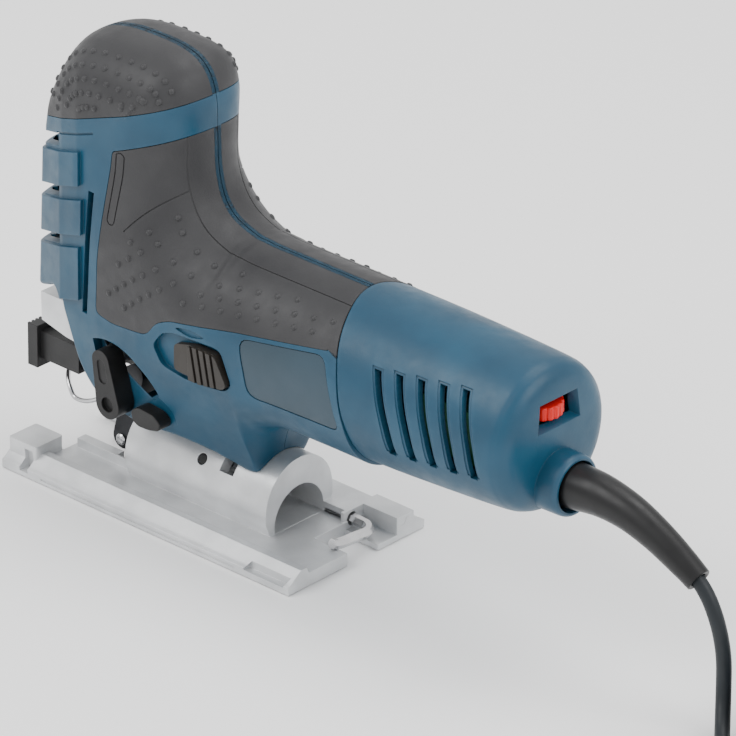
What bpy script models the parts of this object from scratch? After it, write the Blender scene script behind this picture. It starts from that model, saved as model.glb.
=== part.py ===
"""Barrel-grip jigsaw: clamshell body, motor, saw drive, bevelling base and mains cord.

X runs from the blade end (negative) to the cord end (positive), Y to the right side, Z up.
The origin is the middle of the sole. Lengths in this file are millimetres until a mesh is made.
"""
import math

import bmesh
import bpy
import numpy as np
from mathutils import Matrix, Vector

MM = 0.001
GAP = 0.3            # clearance between neighbouring pieces
HALF_GAP = 0.15      # each clamshell half stands this far from the middle plane
WALL = 4.4           # clamshell wall, soft grip included
GRIP_SKIN = 1.5      # soft overmould thickness
SOLE_LENGTH = 160.0
SOLE_WIDTH = 80.0
SOLE_FLOOR = 6.0     # inner floor of the base casting
RAIL_TOP = 8.7
HUB_Z = 16.0         # bevel axis height
HUB_OUTER = 19.5
HUB_INNER = 13.5
HUB_REAR = 48.4
STOP_PIN_LINE = ((10.0, -12.2, 24.4), (10.0, -16.9, 27.6))
STOP_PIN_REACH = 0.78          # share of that line the pin fills, so that it stays inside the hub
KEY_Y = 17.0
KEY_Z = 6.2
FOOT_FLOOR = 41.0    # top of the solid foot inside the clamshells
MOTOR_Z = 90.5       # armature axis height
STROKE = 26.0
PLUNGER_X = -55.0
GEAR_MODULE = 1.5
PINION_TEETH = 8
GEAR_TEETH = 30
GEAR_Z = MOTOR_Z + 0.5 * GEAR_MODULE * (PINION_TEETH + GEAR_TEETH) + 0.15
ORBIT_PIVOT = (-25.5, 45.5)
BLOWER_PIVOT = (-8.0, 45.0)
FORK_PIVOT = (-36.5, 45.0)
ROLLER_X = -44.2
ROLLER_Z = 13.0
DIAL_CENTRE = (175.2, 104.4)
CORD_DIAMETER = 6.3

# side view of the body: top line and the bottom line that faces it, front to rear,
# then the radius of the rounding at the top and at the bottom and its fullness
STATIONS = (
    # top x, top z, bottom x, bottom z, top radius, bottom radius, top fullness
    (-78.0, 150.0, -84.0, 71.0, 6.0, 5.0, 2.0),
    (-76.5, 163.0, -79.0, 73.0, 9.0, 5.0, 2.0),
    (-72.0, 176.0, -72.0, 76.0, 15.0, 5.0, 2.0),
    (-64.0, 187.0, -65.0, 79.0, 21.0, 5.0, 2.1),
    (-54.0, 193.5, -60.0, 76.0, 22.0, 5.0, 2.2),
    (-42.0, 196.6, -56.0, 66.0, 23.0, 5.0, 2.2),
    (-28.0, 197.3, -50.5, 51.0, 24.0, 5.0, 2.2),
    (-15.0, 196.7, -43.0, 40.5, 25.0, 6.0, 2.2),
    (-6.0, 194.0, -33.0, 35.8, 28.0, 6.0, 2.3),
    (0.0, 188.0, -22.0, 34.5, 32.0, 6.0, 2.4),
    (3.0, 178.0, -12.0, 34.5, 36.0, 6.0, 2.6),
    (3.4, 163.0, -3.0, 34.5, 34.0, 6.0, 2.5),
    (4.2, 149.0, 7.0, 33.5, 30.0, 6.0, 2.3),
    (7.5, 137.5, 17.0, 31.5, 28.0, 6.0, 2.2),
    (14.0, 130.5, 27.0, 28.5, 30.0, 6.0, 2.1),
    (25.0, 126.5, 38.5, 26.5, 33.0, 6.0, 2.0),
    (30.0, 126.0, 40.5, 40.0, 34.0, 12.0, 2.0),
    (36.0, 125.6, 45.0, 50.0, 35.0, 22.0, 2.0),
    (50.0, 125.5, 57.0, 55.0, 35.0, 32.0, 2.0),
    (80.0, 125.5, 80.0, 55.5, 35.0, 35.0, 2.0),
    (108.0, 125.4, 108.0, 55.6, 35.0, 35.0, 2.0),
)
ARC_STEPS = 12
FLAT_ANGLE = 0.1     # faces that turn less than this are one flat face

# rear edge of the clamshells in the side view, where the motor cap begins
CAP_JOINT = (
    (84.5, 127.5), (90.0, 121.0), (95.0, 110.5), (99.0, 100.5), (101.8, 88.7), (104.0, 76.5), (105.5, 50.0),
)

KNOB_LINE = (180.5, 0.36)      # z at x=0 and slope of the blue band's upper edge
GRIP_OUTLINE = (
    (-28.0, 156.2), (-30.0, 143.0), (-32.0, 124.5), (-34.0, 106.0), (-35.0, 82.5), (-25.0, 81.5),
    (-4.0, 84.5),
    (2.0, 92.0), (10.0, 95.6), (45.0, 102.2), (92.0, 109.2),
)
PLATE_OUTLINE = ((46.5, 100.6), (90.5, 107.3), (96.5, 94.0), (101.0, 78.0), (52.5, 76.6), (50.0, 88.0))
SWITCH_OUTLINE = (
    (-0.4, 81.5), (5.0, 88.6), (12.0, 91.0), (34.0, 92.5), (38.0, 91.8), (44.0, 78.5), (40.0, 75.0),
    (26.0, 72.8),
    (17.0, 72.0), (5.0, 74.0),
)

BLUE = (0.075, 0.22, 0.33)
GREY = (0.13, 0.13, 0.13)
BLACK = (0.03, 0.03, 0.032)
CAST = (0.78, 0.79, 0.80)
STEEL = (0.55, 0.56, 0.58)
COPPER = (0.62, 0.30, 0.14)
BRONZE = (0.50, 0.36, 0.18)


def clear_scene():
    """An empty scene to build in."""
    for item in list(bpy.data.objects):
        bpy.data.objects.remove(item, do_unlink=True)


def finish(name, obj, colour, roughness, metallic, smooth=False):
    """Names the piece, faces it outward and gives it its finish."""
    obj.name = name
    obj.data.name = name
    shell = bmesh.new()
    shell.from_mesh(obj.data)
    bmesh.ops.remove_doubles(shell, verts=shell.verts, dist=0.000004)
    bmesh.ops.dissolve_degenerate(shell, edges=shell.edges, dist=0.000004)
    bmesh.ops.dissolve_limit(shell, angle_limit=math.radians(FLAT_ANGLE), verts=shell.verts, edges=shell.edges)
    bmesh.ops.triangulate(shell, faces=shell.faces)
    bmesh.ops.recalc_face_normals(shell, faces=shell.faces)
    shell.to_mesh(obj.data)
    shell.free()
    material = bpy.data.materials.new(name)
    material.use_nodes = True
    finish_node = material.node_tree.nodes["Principled BSDF"]
    finish_node.inputs["Base Color"].default_value = (*colour, 1.0)
    finish_node.inputs["Roughness"].default_value = roughness
    finish_node.inputs["Metallic"].default_value = metallic
    obj.data.materials.clear()
    obj.data.materials.append(material)
    obj.data.polygons.foreach_set("use_smooth", [smooth] * len(obj.data.polygons))
    if smooth:
        obj.data.set_sharp_from_angle(angle=math.radians(35.0))
    return obj


def solid(points, faces):
    """A mesh object from points in millimetres."""
    mesh = bpy.data.meshes.new("piece")
    mesh.from_pydata([tuple(float(c) * MM for c in p) for p in points], [], [tuple(f) for f in faces])
    shell = bmesh.new()
    shell.from_mesh(mesh)
    bmesh.ops.triangulate(shell, faces=shell.faces, ngon_method="EAR_CLIP")
    bmesh.ops.recalc_face_normals(shell, faces=shell.faces)
    shell.to_mesh(mesh)
    shell.free()
    obj = bpy.data.objects.new("piece", mesh)
    bpy.context.scene.collection.objects.link(obj)
    return obj


def combine(obj, other, operation):
    """Joins, cuts or intersects obj with other, and removes other."""
    modifier = obj.modifiers.new("work", "BOOLEAN")
    modifier.object = other
    modifier.operation = operation
    modifier.solver = "EXACT"
    graph = bpy.context.evaluated_depsgraph_get()
    mesh = bpy.data.meshes.new_from_object(obj.evaluated_get(graph))
    obj.modifiers.clear()
    obj.data = mesh
    bpy.data.objects.remove(other, do_unlink=True)
    return obj


def cut(obj, *others):
    """obj with every other solid taken out of it."""
    for other in others:
        combine(obj, other, "DIFFERENCE")
    return obj


def join(obj, *others):
    """obj and every other solid as one body."""
    for other in others:
        combine(obj, other, "UNION")
    return obj


def sections(rings):
    """A closed solid through rings that have the same number of points."""
    count = len(rings[0])
    points = [p for ring in rings for p in ring]
    faces = [tuple(range(count))[::-1]]
    for k in range(len(rings) - 1):
        for i in range(count):
            j = (i + 1) % count
            faces.append((k * count + i, k * count + j, (k + 1) * count + j, (k + 1) * count + i))
    faces.append(tuple(range((len(rings) - 1) * count, len(rings) * count)))
    return solid(points, faces)


def block(x0, x1, y0, y1, z0, z1):
    """A box between two corners."""
    ring = ((y0, z0), (y1, z0), (y1, z1), (y0, z1))
    return sections([[(x, y, z) for y, z in ring] for x in (x0, x1)])


def side_prism(outline, y0, y1):
    """An outline of (x, z) points drawn out from y0 to y1."""
    return sections([[(x, y, z) for x, z in outline] for y in (y0, y1)])


def end_prism(outline, x0, x1):
    """An outline of (y, z) points drawn out from x0 to x1."""
    return sections([[(x, y, z) for y, z in outline] for x in (x0, x1)])


def turned_x(profile, centre_z, sides=32, centre_y=0.0):
    """A round body on an axis along X, from (x, radius) pairs."""
    angles = [2 * math.pi * i / sides for i in range(sides)]
    ring = [(centre_y, centre_z, math.cos(a), math.sin(a)) for a in angles]
    return sections([[(x, y + r * c, z + r * s) for y, z, c, s in ring] for x, r in profile])


def turned_y(profile, centre_x, centre_z, sides=24):
    """A round body on an axis along Y, from (y, radius) pairs."""
    angles = [2 * math.pi * i / sides for i in range(sides)]
    ring = [(centre_x, centre_z, math.cos(a), math.sin(a)) for a in angles]
    return sections([[(x + r * c, y, z + r * s) for x, z, c, s in ring] for y, r in profile])


def turned_z(profile, centre_x, centre_y, sides=24):
    """A round body on an axis along Z, from (z, radius) pairs."""
    angles = [2 * math.pi * i / sides for i in range(sides)]
    ring = [(centre_x, centre_y, math.cos(a), math.sin(a)) for a in angles]
    return sections([[(x + r * c, y + r * s, z) for x, y, c, s in ring] for z, r in profile])


def smooth_line(route, steps):
    """Points evenly read from a smooth curve through the route's own points."""
    route = np.array(route, dtype=float)
    before = np.vstack([2 * route[0] - route[1], route, 2 * route[-1] - route[-2]])
    dense = []
    for k in range(len(route) - 1):
        p0, p1, p2, p3 = before[k:k + 4]
        t = np.linspace(0.0, 1.0, 24, endpoint=False)[:, None]
        straight = 2 * p1 + (p2 - p0) * t
        bent = (2 * p0 - 5 * p1 + 4 * p2 - p3) * t ** 2 + (3 * p1 - p0 - 3 * p2 + p3) * t ** 3
        dense.append(0.5 * (straight + bent))
    dense = np.vstack(dense + [route[-1:]])
    run = np.concatenate([[0.0], np.cumsum(np.linalg.norm(np.diff(dense, axis=0), axis=1))])
    even = np.linspace(0.0, run[-1], steps)
    return np.stack([np.interp(even, run, dense[:, i]) for i in range(3)], axis=1)


def swept(line, radii, sides=12):
    """A round body along a line of points, one radius for each point."""
    line = np.asarray(line, dtype=float)
    tangent = np.gradient(line, axis=0)
    tangent /= np.linalg.norm(tangent, axis=1)[:, None]
    side = np.cross(tangent[0], (0.0, 0.0, 1.0))
    if np.linalg.norm(side) < 0.1:
        side = np.array((0.0, 1.0, 0.0))
    rings = []
    for point, along, radius in zip(line, tangent, radii):
        side = side - along * np.dot(side, along)
        side /= np.linalg.norm(side)
        other = np.cross(along, side)
        angles = np.arange(sides) * 2 * math.pi / sides
        rings.append([tuple(point + radius * (math.cos(a) * side + math.sin(a) * other)) for a in angles])
    return sections(rings)


def body_half_width(x, z):
    """Half the body's width at a place in the side view."""
    plan = np.interp(x, (-84.0, -58.0, -35.0, -10.0, 30.0), (15.5, 26.0, 30.5, 33.5, 35.0))
    rise = np.clip((z - 104.0) / 46.0, 0.0, 1.0)
    rise = rise * rise * (3 - 2 * rise)
    knob = min(plan, 28.0)
    waist = np.clip(1 - abs(z - 146.0) / 30.0, 0.0, 1.0) * np.clip((x + 40.0) / 25.0, 0.0, 1.0)
    knob = knob + (26.0 - knob) * waist
    if x > 25.0:
        rise = 0.0
    plan = plan + (knob - plan) * rise
    fall = np.clip((75.0 - z) / 41.0, 0.0, 1.15)
    taper = np.interp(x, (-50.0, -10.0, 20.0, 40.0, 52.0), (0.14, 0.20, 0.45, 0.55, 0.0))
    return plan * (1 - taper * fall)


def quarter_round(depth, radius, fullness):
    """How much of the full width is reached at a depth under a rounded rim."""
    reach = min(depth / radius, 1.0)
    return (1 - (1 - reach) ** fullness) ** (1 / fullness)


def nearest_top(place):
    """Distance from a place in the side view to the top line, with the rounding there."""
    best = (1e9, 0.0, 0.0)
    for first, second in zip(STATIONS[:-1], STATIONS[1:]):
        start = np.array(first[:2])
        run = np.array(second[:2]) - start
        share = float(np.clip(np.dot(place - start, run) / np.dot(run, run), 0.0, 1.0))
        distance = float(np.linalg.norm(start + run * share - place))
        if distance < best[0]:
            radius = first[4] + (second[4] - first[4]) * share
            fullness = first[6] + (second[6] - first[6]) * share
            best = (distance, radius, fullness)
    return best


def body_ring(station, inset):
    """Points up one side of the body, from its bottom line to its top line."""
    top_x, top_z, low_x, low_z, _, low_r, _ = station
    top = np.array((top_x, top_z))
    low = np.array((low_x, low_z))
    length = np.linalg.norm(top - low)
    along = (top - low) / length
    points = []
    for step in range(ARC_STEPS + 1):
        share = 0.5 - 0.5 * math.cos(math.pi * step / ARC_STEPS)
        place = low + (top - low) * share
        width = body_half_width(place[0], place[1]) - inset
        width *= quarter_round(length * share, low_r, 2.2)
        width *= quarter_round(*nearest_top(place))
        inner = low + along * (inset + (length - 2 * inset) * share)
        points.append((inner[0], max(width, HALF_GAP), inner[1]))
    return points


def body_half(side, inset=0.0, from_y=HALF_GAP, rear=0.0):
    """One half of the body, or of its hollow when inset is set. side is -1 left, 1 right."""
    rings = []
    first = 1 if inset else 0
    for k, station in enumerate(STATIONS[first:]):
        ring = [(x, side * y, z) for x, y, z in body_ring(station, inset)]
        ends = (0, ARC_STEPS)
        ring = [(x, side * from_y if i in ends else y, z) for i, (x, y, z) in enumerate(ring)]
        if k == 0 and inset:
            ring = [(x + min(inset, 2.6), y, z) for x, y, z in ring]
        rings.append(ring)
    if rear:
        rings.append([(x + rear, y, z) for x, y, z in rings[-1]])
    return sections(rings)


def knob_region(line, lift):
    """The space above a sloping line in the side view."""
    z0, slope = line
    front = z0 - 110.0 * slope + lift
    rear = z0 + 30.0 * slope + lift
    return ((-110.0, front), (30.0, rear), (30.0, 230.0), (-110.0, 230.0))


def grip_region(swell):
    """Side-view region of the side grip, up to the cap joint. swell widens it all round."""
    low = list(GRIP_OUTLINE)
    centre = np.array((20.0, 120.0))
    points = []
    for x, z in low:
        away = np.array((x, z)) - centre
        shift = away / np.linalg.norm(away) * swell
        points.append((x + shift[0], z + shift[1]))
    joint = [(x - 0.3 if not swell else x + 6.0, z) for x, z in CAP_JOINT[:3][::-1]]
    crown = [(joint[-1][0], 140.0), (30.0, 150.0), (14.0, 171.5 + swell)]
    return points + joint + crown


def cap_side(x_shift, rearward):
    """Side-view region on one side of the cap joint."""
    far = 260.0 if rearward else -140.0
    line = [(x + x_shift, z) for x, z in CAP_JOINT]
    return [(line[0][0], 240.0)] + line + [(line[-1][0], 10.0), (far, 10.0), (far, 240.0)]


def slot_band(x_top, z_top, width):
    """A bowed cooling slot in the side view, leaning back as it goes down."""
    lean = ((0.0, 0.0), (4.8, -9.5), (9.0, -20.5), (10.8, -32.5))
    left = [(x_top + x, z_top + z) for x, z in lean]
    right = [(x + width, z) for x, z in left[::-1]]
    return left + right


def round_outline(cx, cz, radius, start, stop, steps):
    """Points of an arc in the side view, angles in degrees."""
    angles = np.radians(np.linspace(start, stop, steps))
    return [(cx + radius * math.cos(a), cz + radius * math.sin(a)) for a in angles]


def lever_outline(pivot, tip, root_radius, tip_radius):
    """A lever with round ends, from its pivot to its tip."""
    angle = math.degrees(math.atan2(tip[1] - pivot[1], tip[0] - pivot[0]))
    root = round_outline(pivot[0], pivot[1], root_radius, angle + 90, angle + 270, 9)
    end = round_outline(tip[0], tip[1], tip_radius, angle - 90, angle + 90, 7)
    return root + end


def make_shell(name, side):
    """One clamshell half: hollow, with its slots, pockets, saddle and openings."""
    shell = body_half(side)
    shell = combine(shell, side_prism(cap_side(-0.3, False), -60, 60), "INTERSECT")
    cut(shell, cut(body_half(side, WALL, -1.0, 10.0), block(-44, 60, -50, 50, 20, FOOT_FLOOR)))
    skin = GRIP_SKIN + GAP
    for region in (knob_region(KNOB_LINE, -GAP), grip_region(0.4)):
        pocket = side_prism(region, side * -2, side * 60)
        cut(pocket, body_half(side, skin, -5.0, 20.0))
        cut(shell, pocket)
    # front louvres: through slots at the nose, and shallow grooves behind them
    for z_mid, height in ((154.0, 5.6), (131.4, 5.2), (110.0, 4.8)):
        front = z_mid - 18.9
        rear = z_mid - 5.1
        half = height / 2
        through = ((-100.0, front - half), (-60.5, rear - half), (-60.5, rear + half), (-100.0, front + half))
        cut(shell, side_prism(through, side * -5, side * 40))
    outlet = ((-44.5, 79.0), (-41.3, 79.0), (-37.6, 134.0), (-40.8, 134.0))
    cut(shell, side_prism(outlet, side * 18, side * 45))
    # opening under the nose for the gear case, blade clamp and guide fork
    mouth = ((-95.0, 24.0), (-27.0, 24.0), (-27.0, 55.0), (-47.0, 84.0), (-95.0, 84.0))
    cut(shell, side_prism(mouth, side * -1, side * 15.2))
    # foot saddle over the half-round hub, and the clamp screw's hole
    cut(shell, turned_x(((-60, HUB_OUTER + GAP), (60, HUB_OUTER + GAP)), HUB_Z, 40))
    cut(shell, turned_z(((20, 3.4), (60, 3.4)), 24.0, 0.0))
    if side < 0:
        cut(shell, side_prism(SWITCH_OUTLINE, -31.6, -45))
        cut(shell, side_prism(((12, 75.6), (37, 75.6), (37, 84.4), (12, 84.4)), -20, -45))
        fan = round_outline(*ORBIT_PIVOT, 27.0, 118.0, 24.0, 9)
        fan += round_outline(*ORBIT_PIVOT, 8.0, -20.0, -150.0, 7)
        cut(shell, side_prism(fan, -24.6, -45))
        nest = ((-16.0, 33.0), (-14.0, 51.0), (-4.0, 58.0), (5.0, 51.0), (6.5, 33.0))
        cut(shell, side_prism(nest, -25.6, -45))
        for pivot in (ORBIT_PIVOT, BLOWER_PIVOT):
            cut(shell, turned_y(((-45, 2.3), (-15, 2.3)), *pivot))
        cut(shell, plate_pocket(side))
    else:
        cut(shell, plate_pocket(side))
        for x, z in SCREW_PLACES:
            cut(shell, turned_y(((15, 1.9), (60, 1.9)), x, z, 12))
            cut(shell, turned_y(((screw_seat(x, z), 4.0), (60, 4.0)), x, z, 16))
    return finish(name, shell, BLUE, 0.45, 0.0, True)


SCREW_PLACES = ((-22.0, 60.0), (60.0, 66.0), (-50.0, 92.0), (8.0, 70.0))


def screw_seat(x, z):
    """Depth of a screw head's seat on the right side."""
    return float(body_half_width(x, z)) - 3.0


def plate_pocket(side):
    """The shallow pocket that the rating plate sits in."""
    pocket = side_prism(PLATE_OUTLINE, side * 10, side * 60)
    return cut(pocket, body_half(side, 0.9, -5.0, 20.0))


def make_plate(name, side):
    """A thin blank rating plate, curved to the housing."""
    inner = [(x + (76.0 - x) * 0.012, z + (90.0 - z) * 0.02) for x, z in PLATE_OUTLINE]
    plate = combine(side_prism(inner, side * 10, side * 60), body_half(side), "INTERSECT")
    cut(plate, body_half(side, 0.6, -5.0, 20.0))
    return finish(name, plate, (0.10, 0.14, 0.16), 0.5, 0.0, True)


def make_knob_grip(name, side):
    """Soft cover over the top of the knob."""
    grip = combine(body_half(side), side_prism(knob_region(KNOB_LINE, 0.0), -60, 60), "INTERSECT")
    cut(grip, body_half(side, GRIP_SKIN, -5.0, 20.0))
    return finish(name, grip, GREY, 0.7, 0.0, True)


def make_side_grip(name, side):
    """Soft panel from the blue band down the neck and along the barrel's top."""
    grip = combine(body_half(side), side_prism(grip_region(0.0), -60, 60), "INTERSECT")
    cut(grip, body_half(side, GRIP_SKIN, -5.0, 20.0))
    return finish(name, grip, GREY, 0.7, 0.0, True)


def make_motor_cap():
    """Rear barrel: tapered tube with a rounded closed end, slots, dial window and cord boss."""
    profile = (
        (80.0, 90.4, 34.9), (120.0, 91.0, 34.4), (172.0, 92.0, 32.4), (178.5, 92.2, 31.2),
        (182.5, 92.3, 28.6), (184.5, 92.3, 24.0), (185.3, 92.3, 14.0),
    )
    hollow = (
        (70.0, 90.4, 31.4), (120.0, 91.0, 31.0), (172.0, 92.0, 29.4), (179.0, 92.2, 25.5),
        (181.0, 92.3, 14.0),
    )
    angles = [2 * math.pi * i / 36 for i in range(36)]
    cap = sections([[(x, r * math.cos(a), z + r * math.sin(a)) for a in angles] for x, z, r in profile])
    boss = turned_x(((170.0, 13.4), (192.0, 12.9), (195.0, 12.2)), 75.6, 28)
    inside = sections([[(x, r * math.cos(a), z + r * math.sin(a)) for a in angles] for x, z, r in hollow])
    join(cap, boss)
    cut(cap, inside)
    combine(cap, side_prism(cap_side(0.3, True), -60, 60), "INTERSECT")
    for side in (-1, 1):
        for k in range(5):
            cut(cap, side_prism(slot_band(115.6 + 10.5 * k, 109.4 + 1.1 * k, 1.7), side * 20, side * 50))
    cut(cap, block(165, 190, -9.8, 9.8, 100.6, 108.2))
    cut(cap, turned_x(((165.0, 10.4), (200.0, 10.4)), 75.6, 24))
    return finish("motor_cap", cap, BLUE, 0.45, 0.0, True)


def make_gear_case():
    """Die-cast carrier: bare nose in front, plunger bores top and bottom, and the gear wheel's back plate."""
    outline = (
        (-82.0, 70.2), (-81.6, 57.5), (-68.0, 54.2), (-47.5, 52.0), (-24.0, 58.5),
        (-24.0, 152.0), (-63.0, 152.0), (-63.0, 145.0),
        (-30.0, 145.0), (-30.0, 70.2),
    )
    case = side_prism(outline, -14.6, 14.6)
    for low, high in ((40, 75), (140, 160)):
        cut(case, turned_z(((low, 6.4), (high, 6.4)), PLUNGER_X, 0.0))
    cut(case, turned_z(((40, 9.6), (63.0, 9.6)), PLUNGER_X, 0.0))
    cut(case, turned_x(((-35, 7.0), (-20, 7.0)), MOTOR_Z), turned_x(((-35, 3.3), (-20, 3.3)), GEAR_Z))
    cut(case, block(-50, -26, -7.6, 7.6, 45, 60))
    return finish("gear_case", case, CAST, 0.45, 0.9)


def make_bush(name, z0, z1):
    """Sintered bronze plunger bush."""
    bush = turned_z(((z0, 6.1), (z1, 6.1)), PLUNGER_X, 0.0)
    cut(bush, turned_z(((z0 - 5, 4.3), (z1 + 5, 4.3)), PLUNGER_X, 0.0))
    return finish(name, bush, BRONZE, 0.4, 0.9, True)


def make_plunger():
    """Saw rod with the crosswise yoke that the crank pin drives."""
    rod = turned_z(((51.0, 4.0), (168.0, 4.0)), PLUNGER_X, 0.0, 20)
    z = GEAR_Z + STROKE / 2
    yoke = block(-57.0, -46.6, -19.0, 19.0, z - 6.5, z + 6.5)
    cut(yoke, block(-52.0, -40.0, -16.5, 16.5, z - 3.4, z + 3.4))
    return finish("plunger", join(rod, yoke), STEEL, 0.3, 1.0, True)


def make_blade_clamp():
    """Tool-less blade clamp on the end of the saw rod, with its blade slot."""
    clamp = turned_z(((48.0, 6.4), (49.0, 7.4), (61.0, 7.4), (62.0, 6.4)), PLUNGER_X, 0.0, 28)
    cut(clamp, turned_z(((50.7, 4.3), (70, 4.3)), PLUNGER_X, 0.0, 20))
    cut(clamp, block(PLUNGER_X - 4.2, PLUNGER_X + 4.2, -0.9, 0.9, 40, 50))
    return finish("blade_clamp", clamp, STEEL, 0.35, 1.0, True)


def make_release_lever():
    """Black lever round the clamp, with a ribbed thumb pad at the front."""
    ring = turned_z(((37.5, 11.0), (44.0, 11.0)), PLUNGER_X, 0.0, 28)
    arm = block(-86.5, -64.3, -11.0, -3.5, 37.0, 49.5)
    pad = block(-91.0, -85.5, -13.5, 2.5, 33.5, 52.5)
    join(ring, arm, pad)
    cut(ring, turned_z(((30, 9.2), (60, 9.2)), PLUNGER_X, 0.0, 28))
    for k in range(4):
        y = -11.5 + 4.0 * k
        cut(ring, block(-95.0, -90.1, y, y + 1.4, 30, 56))
    return finish("release_lever", ring, BLACK, 0.55, 0.0)


def make_wire_guard():
    """Bent steel wire loop in front of the blade."""
    left = [
        (-47.0, -11.8, 34.5), (-53.0, -12.0, 30.0), (-60.0, -12.0, 26.8), (-66.0, -11.8, 26.4),
        (-69.5, -11.0, 29.5), (-73.0, -8.5, 32.0), (-76.0, -4.0, 33.6),
    ]
    right = [(x, -y, z) for x, y, z in left[::-1]]
    line = smooth_line(left + right, 22)
    line[:, 2] = np.minimum(line[:, 2], 34.5)
    return finish("wire_guard", swept(line, [1.0] * len(line), 6), STEEL, 0.35, 1.0, True)


def toothed_ring(x, teeth, pitch, centre_z, turn):
    """Section of a spur gear at x."""
    points = []
    for k in range(teeth):
        middle = 2 * math.pi * k / teeth + turn
        pitch_angle = 2 * math.pi / teeth
        for share, rise in ((-0.27, -1.85), (-0.12, 1.2), (0.12, 1.2), (0.27, -1.85)):
            a = middle + share * pitch_angle
            radius = pitch + rise
            points.append((x, radius * math.cos(a), centre_z + radius * math.sin(a)))
    return points


def round_ring(x, count, radius, centre_z, turn):
    """Round section with a given number of points."""
    angles = [2 * math.pi * (i - 1.5) / count + turn for i in range(count)]
    return [(x, radius * math.cos(a), centre_z + radius * math.sin(a)) for a in angles]


def make_gear_wheel():
    """Spur gear with the crank pin on its front face."""
    pitch = GEAR_MODULE * GEAR_TEETH / 2
    turn = -math.pi / 2 + math.pi / GEAR_TEETH
    wheel = sections([toothed_ring(x, GEAR_TEETH, pitch, GEAR_Z, turn) for x in (-43.4, -33.5)])
    join(wheel, turned_x(((-46.2, 3.0), (-40.0, 3.0)), GEAR_Z + STROKE / 2, 16))
    cut(wheel, turned_x(((-50, 3.3), (-30, 3.3)), GEAR_Z, 20))
    return finish("gear_wheel", wheel, STEEL, 0.4, 1.0)


def make_armature_shaft():
    """Armature shaft with the pinion cut on its front end."""
    pitch = GEAR_MODULE * PINION_TEETH / 2
    turn = math.pi / 2
    count = 4 * PINION_TEETH
    rings = [toothed_ring(x, PINION_TEETH, pitch, MOTOR_Z, turn) for x in (-43.0, -33.8)]
    rings += [round_ring(x, count, 4.0, MOTOR_Z, turn) for x in (-32.8, 121.0)]
    return finish("armature_shaft", sections(rings), STEEL, 0.3, 1.0, True)


def make_lamination_stack():
    """Slotted armature stack with its wound ends."""
    count = 48
    rings = [round_ring(36.0, count, 11.0, MOTOR_Z, 0.0), round_ring(41.0, count, 14.5, MOTOR_Z, 0.0)]
    for x in (41.4, 76.6):
        points = []
        for i, p in enumerate(round_ring(x, count, 18.5, MOTOR_Z, 0.0)):
            scale = 0.86 if i % 4 == 0 else 1.0
            points.append((x, p[1] * scale, MOTOR_Z + (p[2] - MOTOR_Z) * scale))
        rings.append(points)
    rings += [round_ring(77.0, count, 14.5, MOTOR_Z, 0.0), round_ring(84.0, count, 11.0, MOTOR_Z, 0.0)]
    stack = cut(sections(rings), turned_x(((30, 4.3), (90, 4.3)), MOTOR_Z, 20))
    return finish("lamination_stack", stack, COPPER, 0.5, 0.6)


def ring_part(name, x0, x1, outer, inner, colour, metallic, sides=28):
    """A plain ring on the motor axis."""
    ring = turned_x(((x0, outer), (x1, outer)), MOTOR_Z, sides)
    cut(ring, turned_x(((x0 - 5, inner), (x1 + 5, inner)), MOTOR_Z, sides))
    return finish(name, ring, colour, 0.4, metallic, True)


def make_fan():
    """Radial cooling fan."""
    count = 48
    blades = []
    for x in (14.0, 21.6):
        points = []
        for i, p in enumerate(round_ring(x, count, 25.5, MOTOR_Z, 0.0)):
            scale = 1.0 if i % 4 < 2 else 0.42
            points.append((x, p[1] * scale, MOTOR_Z + (p[2] - MOTOR_Z) * scale))
        blades.append(points)
    fan = join(sections(blades), turned_x(((21.0, 26.0), (23.0, 26.0)), MOTOR_Z, 48))
    cut(fan, turned_x(((10, 4.3), (30, 4.3)), MOTOR_Z, 20))
    return finish("cooling_fan", fan, BLACK, 0.5, 0.0)


def make_stator():
    """Field pack round the armature."""
    stator = turned_x(((40.0, 29.6), (77.0, 29.6)), MOTOR_Z, 32)
    cut(stator, turned_x(((30, 19.4), (90, 19.4)), MOTOR_Z, 32))
    cut(stator, block(30, 90, -8, 8, 112, 125), block(30, 90, -8, 8, 56, 69))
    return finish("stator", stator, STEEL, 0.5, 0.9)


def make_bearing_flange():
    """Cast flange that carries the front bearing between gear case and motor."""
    flange = turned_x(((1.0, 26.5), (10.0, 26.5)), MOTOR_Z, 32)
    cut(flange, turned_x(((-5, 11.3), (20, 11.3)), MOTOR_Z, 28))
    for k in range(6):
        a = math.radians(60 * k + 30)
        hole = turned_x(((-5, 4.2), (20, 4.2)), MOTOR_Z + 19.0 * math.sin(a), 10, 19.0 * math.cos(a))
        cut(flange, hole)
    return finish("bearing_flange", flange, CAST, 0.5, 0.9)


def make_brush_carrier():
    """Moulded plate behind the commutator, with the rear bearing's seat."""
    disc = turned_x(((107.6, 28.0), (110.5, 28.0)), MOTOR_Z, 32)
    plate = join(disc, turned_x(((109.0, 13.0), (120.0, 13.0)), MOTOR_Z, 28))
    cut(plate, turned_x(((100, 9.9), (130, 9.9)), MOTOR_Z, 28))
    return finish("brush_carrier", plate, BLACK, 0.6, 0.0)


def make_brush(name, side):
    """Carbon brush, and its brass holder around it."""
    brush = block(95.5, 102.5, side * 11.6, side * 22.0, 86.5, 94.5)
    return finish(name, brush, (0.05, 0.05, 0.05), 0.6, 0.2)


def make_brush_holder(name, side):
    """Square brass tube that guides a brush."""
    holder = block(94.0, 104.0, side * 14.0, side * 27.0, 85.0, 96.0)
    cut(holder, block(95.2, 102.8, side * 5.0, side * 22.3, 86.2, 94.8))
    return finish(name, holder, BRONZE, 0.35, 0.9)


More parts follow.
